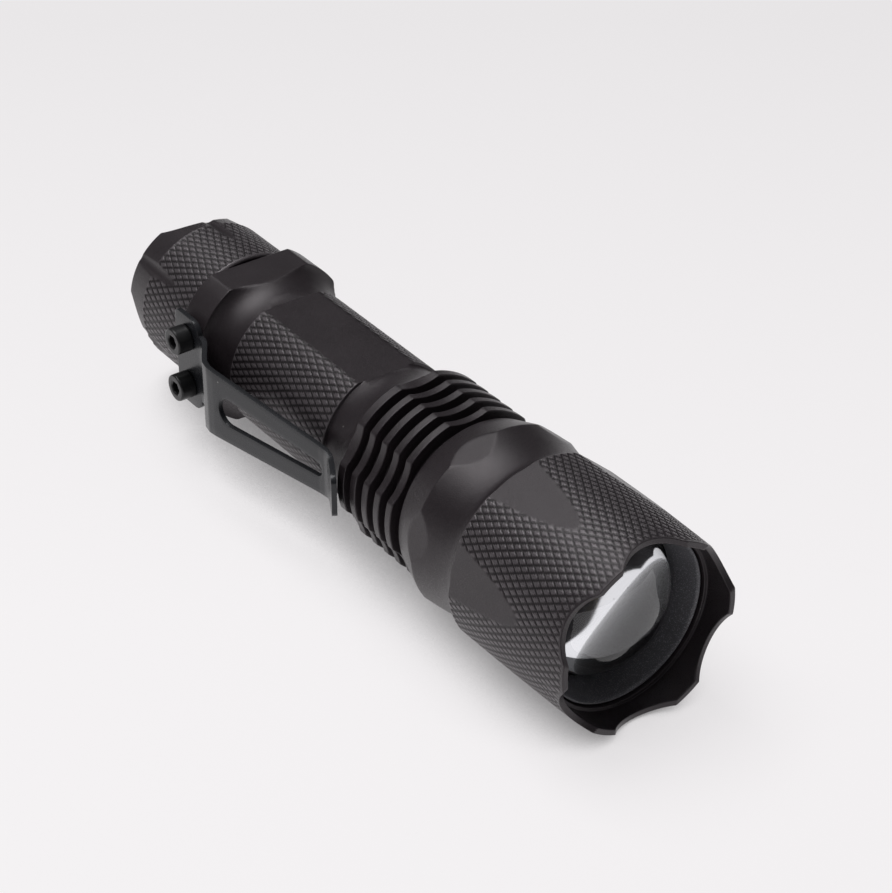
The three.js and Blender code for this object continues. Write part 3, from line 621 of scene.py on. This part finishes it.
grip_rows, grip_pitch = knurl_rows(GRIP_START, GRIP_END, GRIP_RADIUS, GRIP_RADIUS, GRIP_PITCH)
tube_outline = rounded(
    [(TUBE_REAR, BORE_RADIUS), (TUBE_REAR, 9.0)] + even_run((10.75, 9.0), (13.3, 9.0), 16)
    + square([(13.6, 9.0), (13.6, 8.2), (15.2, 8.2), (15.2, 9.0), (16.1, 9.0)])
    + [(16.1, LAND_RADIUS), (COLLAR_END, LAND_RADIUS)]
    + quarter(25.5, LAND_RADIUS, 4.3, 2.4, 186, 270, 12)
    + [(GRIP_START, 9.62), (GRIP_START, GRIP_RADIUS)] + grip_rows
    + [(GRIP_END, GRIP_RADIUS), (GRIP_END, 9.72)]
    + quarter(49.8, LAND_RADIUS, 5.4, 2.3, 270, 357, 14) + [(FIRST_FIN_REAR, LAND_RADIUS)]
    + fin_points() + square(
        [(79.2, BARREL_RADIUS), (79.2, 9.65), (80.4, 9.65), (80.4, BARREL_RADIUS),
         (81.0, BARREL_RADIUS), (81.0, 9.45), (82.6, 9.45), (82.6, BARREL_RADIUS),
         (85.5, BARREL_RADIUS), (85.5, 8.6), (BORE_END, 8.6), (BORE_END, BORE_RADIUS),
         (TUBE_REAR, BORE_RADIUS)]),
    longest=2.5)
# The long plain runs of the barrel and the bore need few rows of their own.
tube_outline = [point for i, point in enumerate(tube_outline)
                if i % 12 == 0 or point in {(TUBE_REAR, BORE_RADIUS), (BORE_END, BORE_RADIUS)}
                or point[0] < TUBE_REAR + 0.3
                or not (point[1] < BORE_RADIUS + 0.05 or 67.4 < point[0] < 79.0)]
tube_blank = outline_mesh(
    "tube_outline", tube_outline,
    pressed=lambda station, radius: (
        (radius - 9.75) / 0.4 if GRIP_START - 0.05 < station < GRIP_END + 0.05 else 0),
    land=lambda station, radius: (
        1 if station < COLLAR_END and radius > 9 else
        (radius - BARREL_RADIUS) / 1.7 if station > 66.5 and radius > BARREL_RADIUS and station < 67 else
        1 if FIRST_FIN_REAR <= station <= 66.5 and radius > 8 else 0),
    threaded=lambda station, radius: min(station - 10.6, 13.2 - station) * 8 if radius > 8.9 else 0)
print("tube outline:", len(tube_outline), "rows, knurl pitch %.3f mm" % grip_pitch)

# %% The tube's milling and knurl
KNURL_SIZES = {"Knurl start": 0.0, "Knurl end": 0.0, "Knurl pitch": 0.001, "Knurl row": 0.0,
               "Knurl steepness": 3.0, "Knurl depth": 0.00013}


def tube_tree():
    nodes, given, end = start_turning("milled tube", {
        **KNURL_SIZES, "Collar flat": 10.3 * MM, "Clip flat": 10.85 * MM, "Label flat": 9.12 * MM,
        "Scallop bar": 8.0 * MM, "Scallop bottom": 11.15 * MM, "Thread pitch": 0.8 * MM,
        "Thread depth": 0.4 * MM})
    station, radius, angle = given["station"], given["radius"], given["angle"]
    height, mesh = knurl(nodes, given, station)
    pressed = share_of(nodes, given, "pressed")
    turn_part = nodes.math("PINGPONG", station / given["Thread pitch"] + angle / TURN, 0.5)
    cut = radius - (1 - height) * given["Knurl depth"] * pressed
    cut = cut - turn_part * given["Thread depth"] * share_of(nodes, given, "threaded")

    corner = folded(nodes, angle, 4, 0)
    clip_side = nodes.math("LESS_THAN", nodes.math("ABSOLUTE", folded(nodes, angle, 1, 90)), math.pi / 4)
    distance = given["Collar flat"] + (given["Clip flat"] - given["Collar flat"]) * clip_side
    past_collar = nodes.math("GREATER_THAN", station, 26.3 * MM)
    collar = flat_height(nodes, corner, distance) + past_collar
    sixth = folded(nodes, angle, 6, 0)
    scallop = bar_cut(nodes, sixth, given["Scallop bottom"] + given["Scallop bar"], given["Scallop bar"])
    before_fins = nodes.math("LESS_THAN", station, 49.0 * MM)
    scallop = scallop + before_fins + nodes.math("GREATER_THAN", station, 67.0 * MM)
    limit = nodes.math("SMOOTH_MIN", collar, scallop, 0.0)

    land = LAND_RADIUS * MM
    on_collar = nodes.math("LESS_THAN", station, 22.0 * MM)
    root = FINS["root"] * MM - on_collar * 0.9 * MM
    lowered = nodes.math("SMOOTH_MIN", limit, land, 0.1 * MM)
    scaled = root + (radius - root) * (lowered - root) / (land - root)
    milled = nodes.math("SMOOTH_MIN", cut, limit, 0.1 * MM)
    share = share_of(nodes, given, "land")
    milled = milled + (scaled - milled) * share

    cosine = nodes.math("MAXIMUM", nodes.math("COSINE", angle), 0.2)
    label = given["Label flat"] / cosine
    window = nodes.between(station, 25.75 * MM, 26.1 * MM) * nodes.between(station, 49.75 * MM, 49.4 * MM)
    flat = nodes.math("SMOOTH_MIN", milled, label, 0.05 * MM)
    milled = milled + (flat - milled) * window
    on_flat = nodes.between(milled - label, -0.03 * MM, -0.01 * MM)
    mesh = with_ridge(nodes, mesh, height, pressed * (1 - on_flat * window))
    finish_turning(nodes, given, end, mesh, station, milled)
    return nodes.tree


def row_at(outline, station, radius):
    """The row of an outline that lies nearest to a point."""
    return int(np.argmin([math.hypot(s - station, r - radius) for s, r in outline]))


def knurled(name, tree, blank, outline, count, rows, pitch, end):
    """The piece that a tree makes from a blank, knurled from the first of `rows` to station `end`."""
    start, radius = rows[0][:2]
    return made(name, tree, blank, sides=count * STEPS_PER_GROOVE, material=black_anodised,
                knurl_start=start * MM, knurl_end=end * MM, knurl_pitch=pitch * MM,
                knurl_row=float(row_at(outline, start, radius)))


knurled_tube = knurled("knurled_tube", tube_tree(), tube_blank, tube_outline, GRIP_COUNT,
                       grip_rows, grip_pitch, grip_rows[-1][0])

# %% [markdown]
# ## The zoom head
# The head slides over the barrel to move the lens. Its shape is a sleeve with a sharp ridge, a hollow
# waist and a long knurled bell. Six flats are milled on the ridge and six long leaves run out over the
# knurl, and the crown has six shallow scallops so that light shows when it stands on its face.

# %% The head's outline
HEAD_COUNT, HEAD_PITCH = 80, 1.79
BELL = (80.7, 102.2, 13.3, 12.85)
WAIST = [(72.85, 13.15), (75.2, 12.64), (77.4, 12.30), (78.6, 12.25), (79.3, 12.29), (79.9, 12.46),
         (80.5, 12.98)]
head_rows, head_pitch = knurl_rows(*BELL, HEAD_PITCH)
CROWN_GIVE = 98.2
head_outline = rounded(
    [(68.0, 10.42), (68.0, 11.6)] + even_run((68.3, 11.696), (72.6, 13.07), 16) + [(72.85, 13.15)]
    + smooth_run(WAIST, 30) + [(80.42, 12.86, "smooth"), (80.7, 13.3)] + head_rows
    + [(102.2, 12.85), (102.2, 12.05)] + even_run((101.9, 12.05), (98.4, 12.05), 12)
    + [(98.1, 12.05), (98.1, 11.6)] + square(
        [(93.0, 11.6), (93.0, 11.3), (90.1, 11.3), (90.1, 9.8), (88.8, 9.8), (88.8, 10.95), (71.0, 10.95),
         (71.0, 10.42), (68.0, 10.42)]), longest=2.5)
head_blank = outline_mesh(
    "head_outline", head_outline,
    pressed=lambda station, radius: (
        min((station - 80.55) / 0.12, (101.85 - station) / 0.35) if radius > 12.6 else 0),
    rim=lambda station, radius: (station - CROWN_GIVE) / (BELL[1] - CROWN_GIVE))
print("head outline:", len(head_outline), "rows, knurl pitch %.3f mm" % head_pitch)

# %% The head's milling and knurl
def head_tree():
    nodes, given, end = start_turning("milled head", {
        **KNURL_SIZES, "Flat angle": 18.0, "Ridge flat": 12.64 * MM, "Leaf flat": 12.75 * MM,
        "Leaf slope": 0.022, "Crown bar": 6.6 * MM, "Crown depth": 1.9 * MM})
    radius, angle = given["radius"], given["angle"]
    sixth = folded(nodes, angle, 6, 0)
    scoop = rim_cut(nodes, sixth, radius, given["Crown bar"], given["Crown depth"])
    station = given["station"] - scoop * share_of(nodes, given, "rim")
    height, mesh = knurl(nodes, given, station)
    offset = folded(nodes, angle, 6, 18)
    on_bell = nodes.math("GREATER_THAN", station, 79.7 * MM)
    leaf = given["Leaf flat"] + (station - BELL[0] * MM) * given["Leaf slope"]
    distance = given["Ridge flat"] + (leaf - given["Ridge flat"]) * on_bell
    plane = flat_height(nodes, offset, distance)
    on_flat = nodes.between(radius - plane, -0.01 * MM, 0.02 * MM)
    share = share_of(nodes, given, "pressed") * (1 - on_flat)
    cut = radius - (1 - height) * share * given["Knurl depth"]
    milled = nodes.math("SMOOTH_MIN", cut, plane, 0.06 * MM)
    mesh = with_ridge(nodes, mesh, height, share)
    finish_turning(nodes, given, end, mesh, station, milled)
    return nodes.tree


knurled_head = knurled("knurled_head", head_tree(), head_blank, head_outline, HEAD_COUNT,
                       head_rows, head_pitch, BELL[1])

# %% [markdown]
# ## The tail cap
# The cap screws onto the tube and carries the switch. Its rim has three deep scallops, for the thumb
# to reach the button, and six short leaves are milled into the knurl behind the plain band.

# %% The cap's outline
CAP_COUNT, CAP_PITCH = 64, 2.2
CAP_START, CAP_END, CAP_RADIUS = 4.6, 15.3, 10.7
cap_rows, cap_pitch = knurl_rows(CAP_START, CAP_END, CAP_RADIUS, CAP_RADIUS, CAP_PITCH)
BAND_GIVE, RECESS_GIVE, BAND_SLOPE = 4.4, 3.15, 0.13
cap_outline = rounded(
    [(0.0, 8.3), (0.0, 10.0)] + even_run((0.25, 10.033), (4.3, 10.56), 17)
    + [(CAP_START, 10.6), (4.66, CAP_RADIUS)] + cap_rows
    + [(CAP_END, CAP_RADIUS), (15.7, 10.4), (15.7, 9.35)]
    + square([(13.0, 9.35), (13.0, 9.2), (8.85, 9.2), (8.85, 8.4), (4.2, 8.4)])
    + [(4.2, 6.15), (3.2, 6.15), (3.2, 8.3)]
    + even_run((2.95, 8.3), (0.25, 8.3), 12) + [(0.0, 8.3)], longest=2.0)
cap_blank = outline_mesh(
    "cap_outline", cap_outline,
    pressed=lambda station, radius: (station - 4.62) / 0.08 if radius > 10.45 and station < 15.5 else 0,
    rim=lambda station, radius: ((BAND_GIVE - station) / BAND_GIVE if radius > 9 else
                                 (RECESS_GIVE - station) / RECESS_GIVE))
print("cap outline:", len(cap_outline), "rows, knurl pitch %.3f mm" % cap_pitch)

# %% The cap's milling and knurl
def cap_tree():
    nodes, given, end = start_turning("milled cap", {
        **KNURL_SIZES, "Rim bar": 6.3 * MM, "Rim depth": 3.0 * MM, "Leaf bar": 1.6 * MM,
        "Leaf front": 10.2 * MM, "Leaf slope": 0.0804})
    radius, angle = given["radius"], given["angle"]
    third = folded(nodes, angle, 3, -6)
    scoop = rim_cut(nodes, third, radius, given["Rim bar"], given["Rim depth"])
    shift = scoop * share_of(nodes, given, "rim")
    station = given["station"] + shift
    outside = nodes.math("GREATER_THAN", radius, 9.5 * MM)
    radius = radius + shift * outside * BAND_SLOPE
    height, mesh = knurl(nodes, given, station)
    sixth = folded(nodes, angle, 6, -8)
    bottom = CAP_RADIUS * MM - (given["Leaf front"] - station) * given["Leaf slope"]
    groove = bar_cut(nodes, sixth, bottom + given["Leaf bar"], given["Leaf bar"])
    on_leaf = nodes.between(radius - groove, -0.01 * MM, 0.02 * MM)
    share = share_of(nodes, given, "pressed") * (1 - on_leaf)
    cut = radius - (1 - height) * share * given["Knurl depth"]
    milled = nodes.math("SMOOTH_MIN", cut, groove, 0.1 * MM)
    mesh = with_ridge(nodes, mesh, height, share)
    finish_turning(nodes, given, end, mesh, station, milled)
    return nodes.tree


knurled_cap = knurled("knurled_cap", cap_tree(), cap_blank, cap_outline, CAP_COUNT,
                      cap_rows, cap_pitch, cap_rows[-1][0])

# %% [markdown]
# ## Lens, bezel ring and rubber boot
# These are plain turned shapes, so their tree has no rules of its own. The lens is thick in the middle
# and has a thin flange that the black ring clamps. The boot is one moulding: a soft dome over the
# switch and a flange that is trapped inside the cap.

# %% Plain turned pieces
def plain_tree():
    nodes, given, end = start_turning("plain turning", {})
    finish_turning(nodes, given, end, given["grid"], given["station"], given["radius"])
    return nodes.tree


turning = plain_tree()


def turned(name, outline, sides, material):
    return made(name, turning, outline_mesh(name + "_outline", outline), sides=sides, material=material)


LENS_RADIUS, LENS_RISE = 9.4, 6.4
lens_outline = rounded(
    [(91.0, 0.0), (91.0, 11.0), (93.0, 11.0), (93.0, LENS_RADIUS)]
    + quarter(93.0, 0.0, LENS_RISE, LENS_RADIUS, 88, 2, 44) + [(93.0 + LENS_RISE, 0.0)],
    corner=0.08, longest=1.2)
aspheric_lens = turned("aspheric_lens", lens_outline, 144, lens_clear)
bezel_outline = rounded(
    [(93.1, 10.1), (93.1, 11.45), (97.6, 11.45), (97.6, 11.25), (97.3, 11.05), (94.3, 10.1), (93.1, 10.1)],
    corner=0.1, longest=0.5)
bezel_ring = turned("bezel_ring", bezel_outline, 180, bezel_black)
boot_outline = rounded(
    [(0.9, 0.0)] + even_run((0.9, 0.6), (0.92, 3.0), 6) + quarter(3.1, 3.7, 2.15, 2.2, 178, 92, 12)
    + [(3.4, 5.9, "smooth"), (4.3, 5.9), (4.3, 8.2), (5.0, 8.2), (5.0, 4.95), (3.4, 4.95, "smooth")]
    + quarter(3.1, 3.7, 1.2, 1.2, 90, 180, 8) + [(1.9, 2.0, "smooth"), (1.9, 0.0)],
    corner=0.15, longest=0.25)
rubber_boot = turned("rubber_boot", boot_outline, 96, black_rubber)


# %% [markdown]
# ## The clip screws
# Two small cap screws hold the clip. Things that repeat are made once and set out by a tree: here a
# turned head with a six-sided socket, stood at two points on the tab. The socket is the same outline
# rolled with its inner wall pushed in to a hexagon.

# %% One screw, then two
def screw_tree():
    """A cap screw along the beam axis, its socket made six-sided."""
    nodes, given, end = start_turning("cap screw", {})
    corner = folded(nodes, given["angle"], 6, 0)
    hexagon = given["radius"] * math.cos(math.pi / 6) / nodes.math("COSINE", corner)
    share = share_of(nodes, given, "socket")
    finish_turning(nodes, given, end, given["grid"], given["station"],
                   given["radius"] + (hexagon - given["radius"]) * share)
    return nodes.tree


def pair_tree():
    """Stands its input on every point of a short line of screws."""
    nodes, given, end = new_group("row of screws", "GeometryNodeTree", [
        ("Screw", GEOMETRY, None), ("Count", INTEGER, 2), ("First", VECTOR, None), ("Step", VECTOR, None),
        ("Material", "NodeSocketMaterial", None)], [("Geometry", GEOMETRY)])
    line = nodes.put("GeometryNodeMeshLine", {}, {"Count": given["Count"], "Start Location": given["First"],
                                                  "Offset": given["Step"]})
    stood = nodes.wire("GeometryNodeInstanceOnPoints", {}, {
        "Points": line.outputs[0], "Instance": given["Screw"], "Rotation": (0.0, 0.0, -math.pi / 2)})
    solid = nodes.wire("GeometryNodeRealizeInstances", {}, {"Geometry": stood})
    painted = nodes.wire("GeometryNodeSetMaterial", {}, {"Geometry": solid, "Material": given["Material"]})
    nodes.feed(end.inputs["Geometry"], painted)
    return nodes.tree


SCREW = dict(station=18.5, spread=3.65, seat=11.7, head=2.3, radius=1.9, socket=0.98, deep=1.15)
screw_outline = rounded(
    [(-2.9, 0.0), (-2.9, 0.9), (0.0, 0.9), (0.0, SCREW["radius"]), (SCREW["head"], SCREW["radius"]),
     (SCREW["head"], SCREW["socket"]), (SCREW["head"] - SCREW["deep"], SCREW["socket"]),
     (SCREW["head"] - SCREW["deep"] - 0.3, 0.0)], corner=0.2, longest=0.4)
screw_blank = outline_mesh(
    "screw_outline", screw_outline,
    socket=lambda station, radius: 1 if station > 0.8 and radius < 1.12 else 0)
one_screw = made("one_screw", screw_tree(), screw_blank, sides=48, material=screw_steel)
one_screw.data.transform(Matrix.Translation((-tail_station, -axis_y, -axis_z)))
clip_screws = made("clip_screws", pair_tree(), one_screw.data, material=screw_steel, count=2,
                   first=spot(SCREW["station"], SCREW["seat"], -SCREW["spread"]),
                   step=(0.0, 0.0, 2 * SCREW["spread"] * MM))
bpy.data.objects.remove(one_screw)

# %% [markdown]
# ## The pocket clip
# The clip is one pressing of spring steel: a tab under the screws, a rounded crest, a long arm with a
# slot, and a small turned-up lip. Its plan is a list of half widths, its side view is a list of
# heights, and the sheet between them is laid in quads that run round the slot. Solidify then gives
# it the thickness of the steel and Bevel breaks its edges.

# %% The clip's plan and side view
CLIP = dict(rear=15.6, tab=21.6, tab_height=11.3, tab_half=6.9, lip=57.4, thick=0.7, wide=(33.0, 2.1),
            narrow=(50.3, 1.1))
SIDE_VIEW = [(15.6, 11.3), (21.4, 11.3), (21.95, 11.33), (22.6, 11.42), (23.5, 11.82), (26.0, 13.42),
             (27.2, 14.12), (28.6, 14.4), (29.9, 14.32), (50.7, 11.47), (51.9, 11.4), (52.8, 11.5),
             (53.6, 11.8), (57.4, 13.9)]
HALF_WIDTHS = [(22.0, 5.15), (28.6, 5.05), (51.9, 3.5), (53.5, 3.15), (57.4, 3.05)]


def clip_height(station):
    return float(np.interp(station, *zip(*SIDE_VIEW)))


def clip_half(station):
    """Half the clip's width at a station, with rounded corners on the tab and the lip."""
    rear_corner, front_corner, lip_corner = 0.8, 2.0, 1.0
    half = float(np.interp(station, *zip(*HALF_WIDTHS)))
    if station <= CLIP["tab"]:
        into = max(station - (CLIP["tab"] - front_corner), 0.0)
        tab = CLIP["tab_half"] - front_corner + math.sqrt(max(front_corner ** 2 - into ** 2, 0.0))
        half = max(half, tab)
    early = max(CLIP["rear"] + rear_corner - station, 0.0)
    late = max(station - (CLIP["lip"] - lip_corner), 0.0)
    half -= rear_corner - math.sqrt(max(rear_corner ** 2 - early ** 2, 0.0))
    return half - lip_corner + math.sqrt(max(lip_corner ** 2 - late ** 2, 0.0))


def slot_half(station):
    """Half the slot's width at a station, 0 outside it."""
    (wide_at, wide), (narrow_at, narrow) = CLIP["wide"], CLIP["narrow"]
    if station < wide_at:
        return math.sqrt(max(wide ** 2 - (station - wide_at) ** 2, 0.0))
    if station > narrow_at:
        return math.sqrt(max(narrow ** 2 - (station - narrow_at) ** 2, 0.0))
    return wide + (narrow - wide) * (station - wide_at) / (narrow_at - wide_at)


def round_stations(centre, radius, toward):
    """Stations that follow a round end at even angles."""
    return [centre + toward * radius * math.sin(math.radians(angle)) for angle in range(10, 91, 8)]


slot_rear, slot_front = CLIP["wide"][0] - CLIP["wide"][1], CLIP["narrow"][0] + CLIP["narrow"][1]
stations = sorted(set(
    [round(float(value), 4) for value in (
        list(np.linspace(15.6, 16.4, 8)) + list(np.arange(16.8, 19.6, 0.5))
        + round_stations(19.6, 2.0, 1) + list(np.arange(21.7, 30.2, 0.22)) + [slot_rear, slot_front]
        + round_stations(33.0, 2.1, -1) + list(np.arange(33.0, 50.3, 0.9)) + round_stations(50.3, 1.1, 1)
        + list(np.arange(51.6, 56.4, 0.22)) + round_stations(56.4, 1.0, 1))]))
print("clip stations:", len(stations))


def clip_sheet():
    """The middle surface of the clip, in rows of quads that part round the slot."""
    columns = 5
    mesh = bmesh.new()
    rows = []
    for station in stations:
        half, slot = max(clip_half(station), 0.4), slot_half(station)
        slot = slot if slot > 0.05 else 0.0
        points = [mesh.verts.new(spot(station, clip_height(station), side * (half + (slot - half) * part)))
                  for side in (-1, 1) for part in np.linspace(0, 1, columns)]
        rows.append(points)
    for before, after in zip(rows, rows[1:]):
        for side in (0, columns):
            for i in range(side, side + columns - 1):
                order = (before[i], before[i + 1], after[i + 1], after[i])
                mesh.faces.new(order if side == 0 else order[::-1])
    bmesh.ops.remove_doubles(mesh, verts=mesh.verts, dist=1e-6)
    bmesh.ops.recalc_face_normals(mesh, faces=mesh.faces)
    data = bpy.data.meshes.new("clip_sheet")
    mesh.to_mesh(data)
    mesh.free()
    return data


def with_modifiers(name, data, *modifiers, material):
    """The plain mesh that a row of modifiers makes from a sheet."""
    holder = bpy.data.objects.new(name + "_sheet", data)
    scene.collection.objects.link(holder)
    for kind, settings in modifiers:
        modifier = holder.modifiers.new(kind, kind)
        for key, value in settings.items():
            setattr(modifier, key, value)
    graph = bpy.context.evaluated_depsgraph_get()
    mesh = bpy.data.meshes.new_from_object(holder.evaluated_get(graph), depsgraph=graph)
    bpy.data.objects.remove(holder)
    mesh.materials.clear()
    mesh.materials.append(material)
    mesh.shade_smooth()
    piece = bpy.data.objects.new(name, mesh)
    scene.collection.objects.link(piece)
    print(name, len(mesh.vertices), "vertices")
    return piece


pocket_clip = with_modifiers(
    "pocket_clip", clip_sheet(),
    ("SOLIDIFY", {"thickness": CLIP["thick"] * MM, "offset": 0.0, "use_even_offset": True}),
    ("BEVEL", {"width": 0.16 * MM, "segments": 3, "limit_method": "ANGLE", "angle_limit": math.radians(50),
               "use_clamp_overlap": True, "harden_normals": False}),
    material=clip_steel)

# %% [markdown]
# ## The pieces inside
# The light engine, the cell, the springs and the switch keep their CAD shapes, because those are
# right as they are. Each takes a finish made of nodes in place of its plain colour.

# %% Finish the CAD nodes that stay
FINISH_OF_NODE = {
    black_rubber: ["lens_gasket", "head_o_ring", "tail_o_ring"],
    spring_steel: ["head_stop_ring", "tail_spring"],
    turned_brass: ["led_pill", "switch_retaining_ring"],
    board_white: ["led_board"],
    emitter_yellow: ["led_emitter"],
    white_plastic: ["led_spacer"],
    wire_red: ["led_wire_positive"],
    wire_black: ["led_wire_negative"],
    board_green: ["driver_board", "switch_board"],
    black_plastic: ["driver_chip", "driver_inductor", "switch_plunger", "switch_housing"],
    gilt_contact: ["driver_spring"],
    cell_steel: ["battery_cell", "battery_positive_cap"],
    cell_wrap: ["battery_wrap"],
    insulator_card: ["battery_insulator"],
}
for material, names in FINISH_OF_NODE.items():
    for name in names:
        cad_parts[name].material_slots[0].material = material
print("finished inside pieces:", sum(map(len, FINISH_OF_NODE.values())))

# %% [markdown]
# ## What moves with what
# Each piece but the clip and the boot rides on a CAD body. On the real flashlight the clip bends at the
# root of its arm, and the boot's dome goes in with the button while its flange stays with the cap; here
# the clip and the boot are each one mesh that stays where it is made, and the CAD pieces they replace
# are hidden.

# %% Rides, replacements and finishes
for piece, body, nodes_replaced, slot in (
        (knurled_tube, "body", ["main_body"], "black_anodised"),
        (clip_screws, "body", ["clip_screw_upper", "clip_screw_lower"], "screw_steel"),
        (knurled_head, "head", ["zoom_head"], "black_anodised"),
        (aspheric_lens, "lens_carrier", ["lens"], "lens_clear"),
        (bezel_ring, "lens_carrier", ["lens_retaining_ring"], "bezel_black"),
        (knurled_cap, "cap", ["tail_cap"], "black_anodised")):
    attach(piece, body)
    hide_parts(*nodes_replaced)
spot(21.3, 11.3)
spot(22.3, 11.3)
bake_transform(pocket_clip)
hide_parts("pocket_clip_base", "pocket_clip_arm")
spot(4.4)
spot(1.8)
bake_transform(rubber_boot)
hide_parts("switch_boot", "boot_flange")
print("the boot blends over %.1f mm" % ((spot(4.4) - spot(1.8)).length / MM))

# %% [markdown]
# ## Floor, light and camera
# The flashlight lies on a pale sheet under one large softbox, which hangs almost straight above and a
# little towards the tail. Black metal shows its shape only by what it reflects, so the room is dim and
# the light is near. As in a light tent, the sheet glows too: shadows stay pale, and the undersides
# have something bright to reflect. The glow fades a little with distance, and ambient occlusion
# darkens it where the flashlight covers the sheet: a painted contact shadow.

# %% The floor
def pale_floor():
    bpy.ops.mesh.primitive_plane_add(size=6.0)
    floor = bpy.context.object
    floor.name = "floor"
    material = bpy.data.materials.new("pale_floor")
    material.use_nodes = True
    shader = material.node_tree.nodes["Principled BSDF"]
    nodes = Nodes(material.node_tree)
    place = nodes.wire("ShaderNodeTexCoord", output="Object")
    from_camera = (-0.81, 0.59, 0.0)
    away = nodes.wire("ShaderNodeVectorMath", {"operation": "DOT_PRODUCT"},
                      {0: place, 1: from_camera}, output="Value")
    near_glow, far_glow = 0.73, 0.64
    glow = nodes.wire("ShaderNodeMapRange", {}, {0: away, 1: -0.02, 2: 0.16, 3: near_glow, 4: far_glow})
    # painted contact shadow: ambient occlusion dims the sheet's glow where the flashlight covers it
    openness = nodes.wire("ShaderNodeAmbientOcclusion", {"samples": 8}, {"Distance": 0.02}, output="AO")
    uncovered = nodes.between(openness, 0.05, 0.55) * 0.9 + 0.1
    nodes.feed(shader.inputs["Emission Strength"], glow * uncovered)
    shader.inputs["Emission Color"].default_value = (1.0, 0.978, 0.99, 1.0)
    shader.inputs["Base Color"].default_value = (0.20, 0.196, 0.197, 1.0)
    shader.inputs["Roughness"].default_value = 0.6
    shader.inputs["Specular IOR Level"].default_value = 0.2
    floor.data.materials.append(material)
    print("floor finish:", len(material.node_tree.nodes), "nodes")


pale_floor()


# %% The lights
def soft_light(name, position, aim, size, power):
    light = bpy.data.lights.new(name, "AREA")
    light.shape = "RECTANGLE"
    light.size, light.size_y = size
    light.energy = power
    lamp = bpy.data.objects.new(name, light)
    lamp.location = position
    lamp.rotation_euler = (Vector(aim) - Vector(position)).to_track_quat("-Z", "Y").to_euler()
    scene.collection.objects.link(lamp)
    return lamp


def soft_ceiling(toward, edge, inner, dim, bright):
    """A dim room whose ceiling is brightest within `inner` degrees of a direction and as dim as the
    walls beyond `edge` degrees."""
    world = bpy.data.worlds.new("soft_ceiling")
    world.use_nodes = True
    nodes = Nodes(world.node_tree)
    background = world.node_tree.nodes["Background"]
    direction = nodes.wire("ShaderNodeTexCoord", output="Generated")
    facing = nodes.wire("ShaderNodeVectorMath", {"operation": "DOT_PRODUCT"},
                        {0: direction, 1: Vector(toward).normalized()}, output="Value")
    share = nodes.wire("ShaderNodeMapRange", {"interpolation_type": "SMOOTHSTEP"}, {
        0: facing, 1: math.cos(math.radians(edge)), 2: math.cos(math.radians(inner)), 3: dim, 4: bright})
    nodes.feed(background.inputs["Strength"], share)
    background.inputs["Color"].default_value = (0.985, 0.975, 1.0, 1.0)
    scene.world = world


soft_light("overhead_softbox", (-0.25, -0.12, 0.85), (0.0, 0.0, 0.0), (0.75, 0.6), 6.2)
soft_ceiling((-0.1, 0.0, 1.0), 60.0, 20.0, 0.10, 0.30)
scene.view_settings.view_transform = "Standard"

# %% The camera
camera_data = bpy.data.cameras.new("camera")
camera_data.lens = 102.5
camera_data.sensor_width = 36.0
camera = bpy.data.objects.new("camera", camera_data)
right, up, back = (0.5842, 0.8117, 0.0), (-0.4508, 0.3245, 0.8316), (0.6749, -0.4858, 0.5554)
stand = (0.22481, -0.15331, 0.19436)
camera.matrix_world = Matrix.Translation(stand) @ Matrix((right, up, back)).transposed().to_4x4()
scene.collection.objects.link(camera)
scene.camera = camera
camera_data.clip_start = 0.01
print("camera %.0f mm from the lens" % ((camera.location - spot(97.5)).length / MM))
